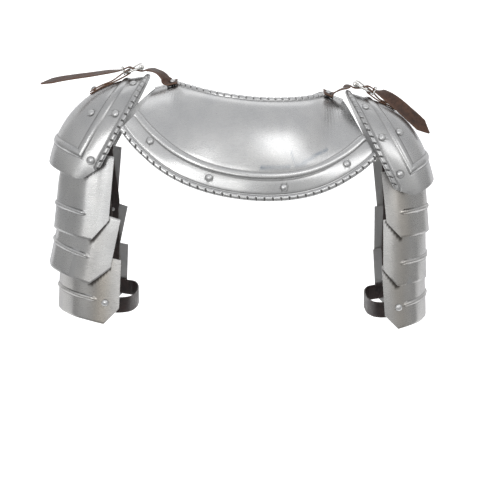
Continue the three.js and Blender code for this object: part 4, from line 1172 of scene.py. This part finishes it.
def makeFloor():
    bend, back, low = room["bend"], room["backY"], room["floorZ"]
    profile = [(room["frontY"], low), (back - bend, low)]
    for a in np.radians(np.linspace(0, 90, 13)[1:]):
        profile.append((back - bend + bend * math.sin(a), low + bend * (1 - math.cos(a))))
    profile.append((back, room["top"]))
    points = [vec(x, y, z) * mm for y, z in profile for x in (-room["halfWide"], room["halfWide"])]
    mesh = bpy.data.meshes.new("floor")
    faces = [(2 * k, 2 * k + 1, 2 * k + 3, 2 * k + 2) for k in range(len(profile) - 1)]
    mesh.from_pydata([tuple(p) for p in points], [], faces)
    mesh.polygons.foreach_set("use_smooth", np.ones(len(faces), bool))
    material, tree, shader = newMaterial("paleFloor")
    where = tree.nodes.new("ShaderNodeTexCoord").outputs["Object"]
    y = addNode(tree, "SeparateXYZ", {0: where}).outputs["Y"]
    share = rangeNode(tree, y, *(edge * mm for edge in room["shadeY"]))
    # the floor's front is painted darker as painted shade, and the rest glows as painted light
    setInputs(tree, shader, {
        "Base Color": mixNode(tree, share, room["front"], room["colour"]), "Roughness": 0.9,
        "Emission Color": grey(1), "Emission Strength": mathNode(tree, "MULTIPLY", share, room["glow"])})
    mesh.materials.append(material)
    addObject("floor", mesh)


lights = [
    {"name": "rightBox", "at": (1155, -1780, 1180), "size": (1000, 850), "power": 3.9},
    {"name": "leftStrip", "at": (-740, -2260, 420), "size": (420, 1000), "power": 5.5},
    {"name": "lowStrip", "at": (0, -2700, 0), "size": (820, 620), "power": 2.6},
    {"name": "topBox", "at": (0, 900, 1900), "size": (2200, 700), "power": 3},
]


def makeLights():
    for row in lights:
        data = bpy.data.lights.new(row["name"], "AREA")
        data.shape = "RECTANGLE"
        data.size, data.size_y = row["size"][0] * mm, row["size"][1] * mm
        data.energy = row["power"]
        light = addObject(row["name"], data)
        light.location = vec(*row["at"]) * mm
        turnTo(light, Vector(vec(0, 0, -150) * mm) - light.location)


def turnTo(thing, aim):
    thing.rotation_mode = "QUATERNION"
    thing.rotation_quaternion = aim.to_track_quat("-Z", "Y")


# Grey of the studio from straight below (0) to straight above (1), and how much the sides dim
studio = [(0.0, grey(0.10)), (0.30, grey(0.22)), (0.42, grey(0.46)), (0.51, grey(0.62)), (0.62, grey(0.80)),
          (0.78, (0.86, 0.86, 0.87)), (0.95, (0.72, 0.725, 0.74))]
studioSides = {"from": 0.5, "to": 0.95, "dim": 0.74, "strength": 0.96}


def makeStudio():
    world = bpy.data.worlds.new("studio")
    bpy.context.scene.world = world
    world.use_nodes = True
    tree = world.node_tree
    where = tree.nodes.new("ShaderNodeTexCoord").outputs["Generated"]
    split = addNode(tree, "SeparateXYZ", {0: where})
    sky = rampNode(tree, rangeNode(tree, split.outputs["Z"], -1, 1), studio)
    across = mathNode(tree, "ABSOLUTE", split.outputs["X"], 0)
    sides = rangeNode(tree, across, studioSides["from"], studioSides["to"], 1.0, studioSides["dim"])
    setInputs(tree, tree.nodes["Background"], {
        "Color": mixNode(tree, 1.0, sky, sides, "MULTIPLY"), "Strength": studioSides["strength"]})


def makeCamera():
    e = math.radians(view["elevation"])
    back = Vector((0, -math.cos(e), math.sin(e)))
    data = bpy.data.cameras.new("camera")
    data.lens, data.sensor_width = view["lens"], 36
    data.clip_end = 50
    camera = addObject("camera", data)
    camera.location = Vector(vec(*view["target"]) * mm) + back * view["distance"] * mm
    turnTo(camera, -back)
    bpy.context.scene.camera = camera


makeFloor()
makeLights()
makeStudio()
makeCamera()
bpy.context.scene.view_settings.view_transform = "Standard"
print("floor, light and camera set")
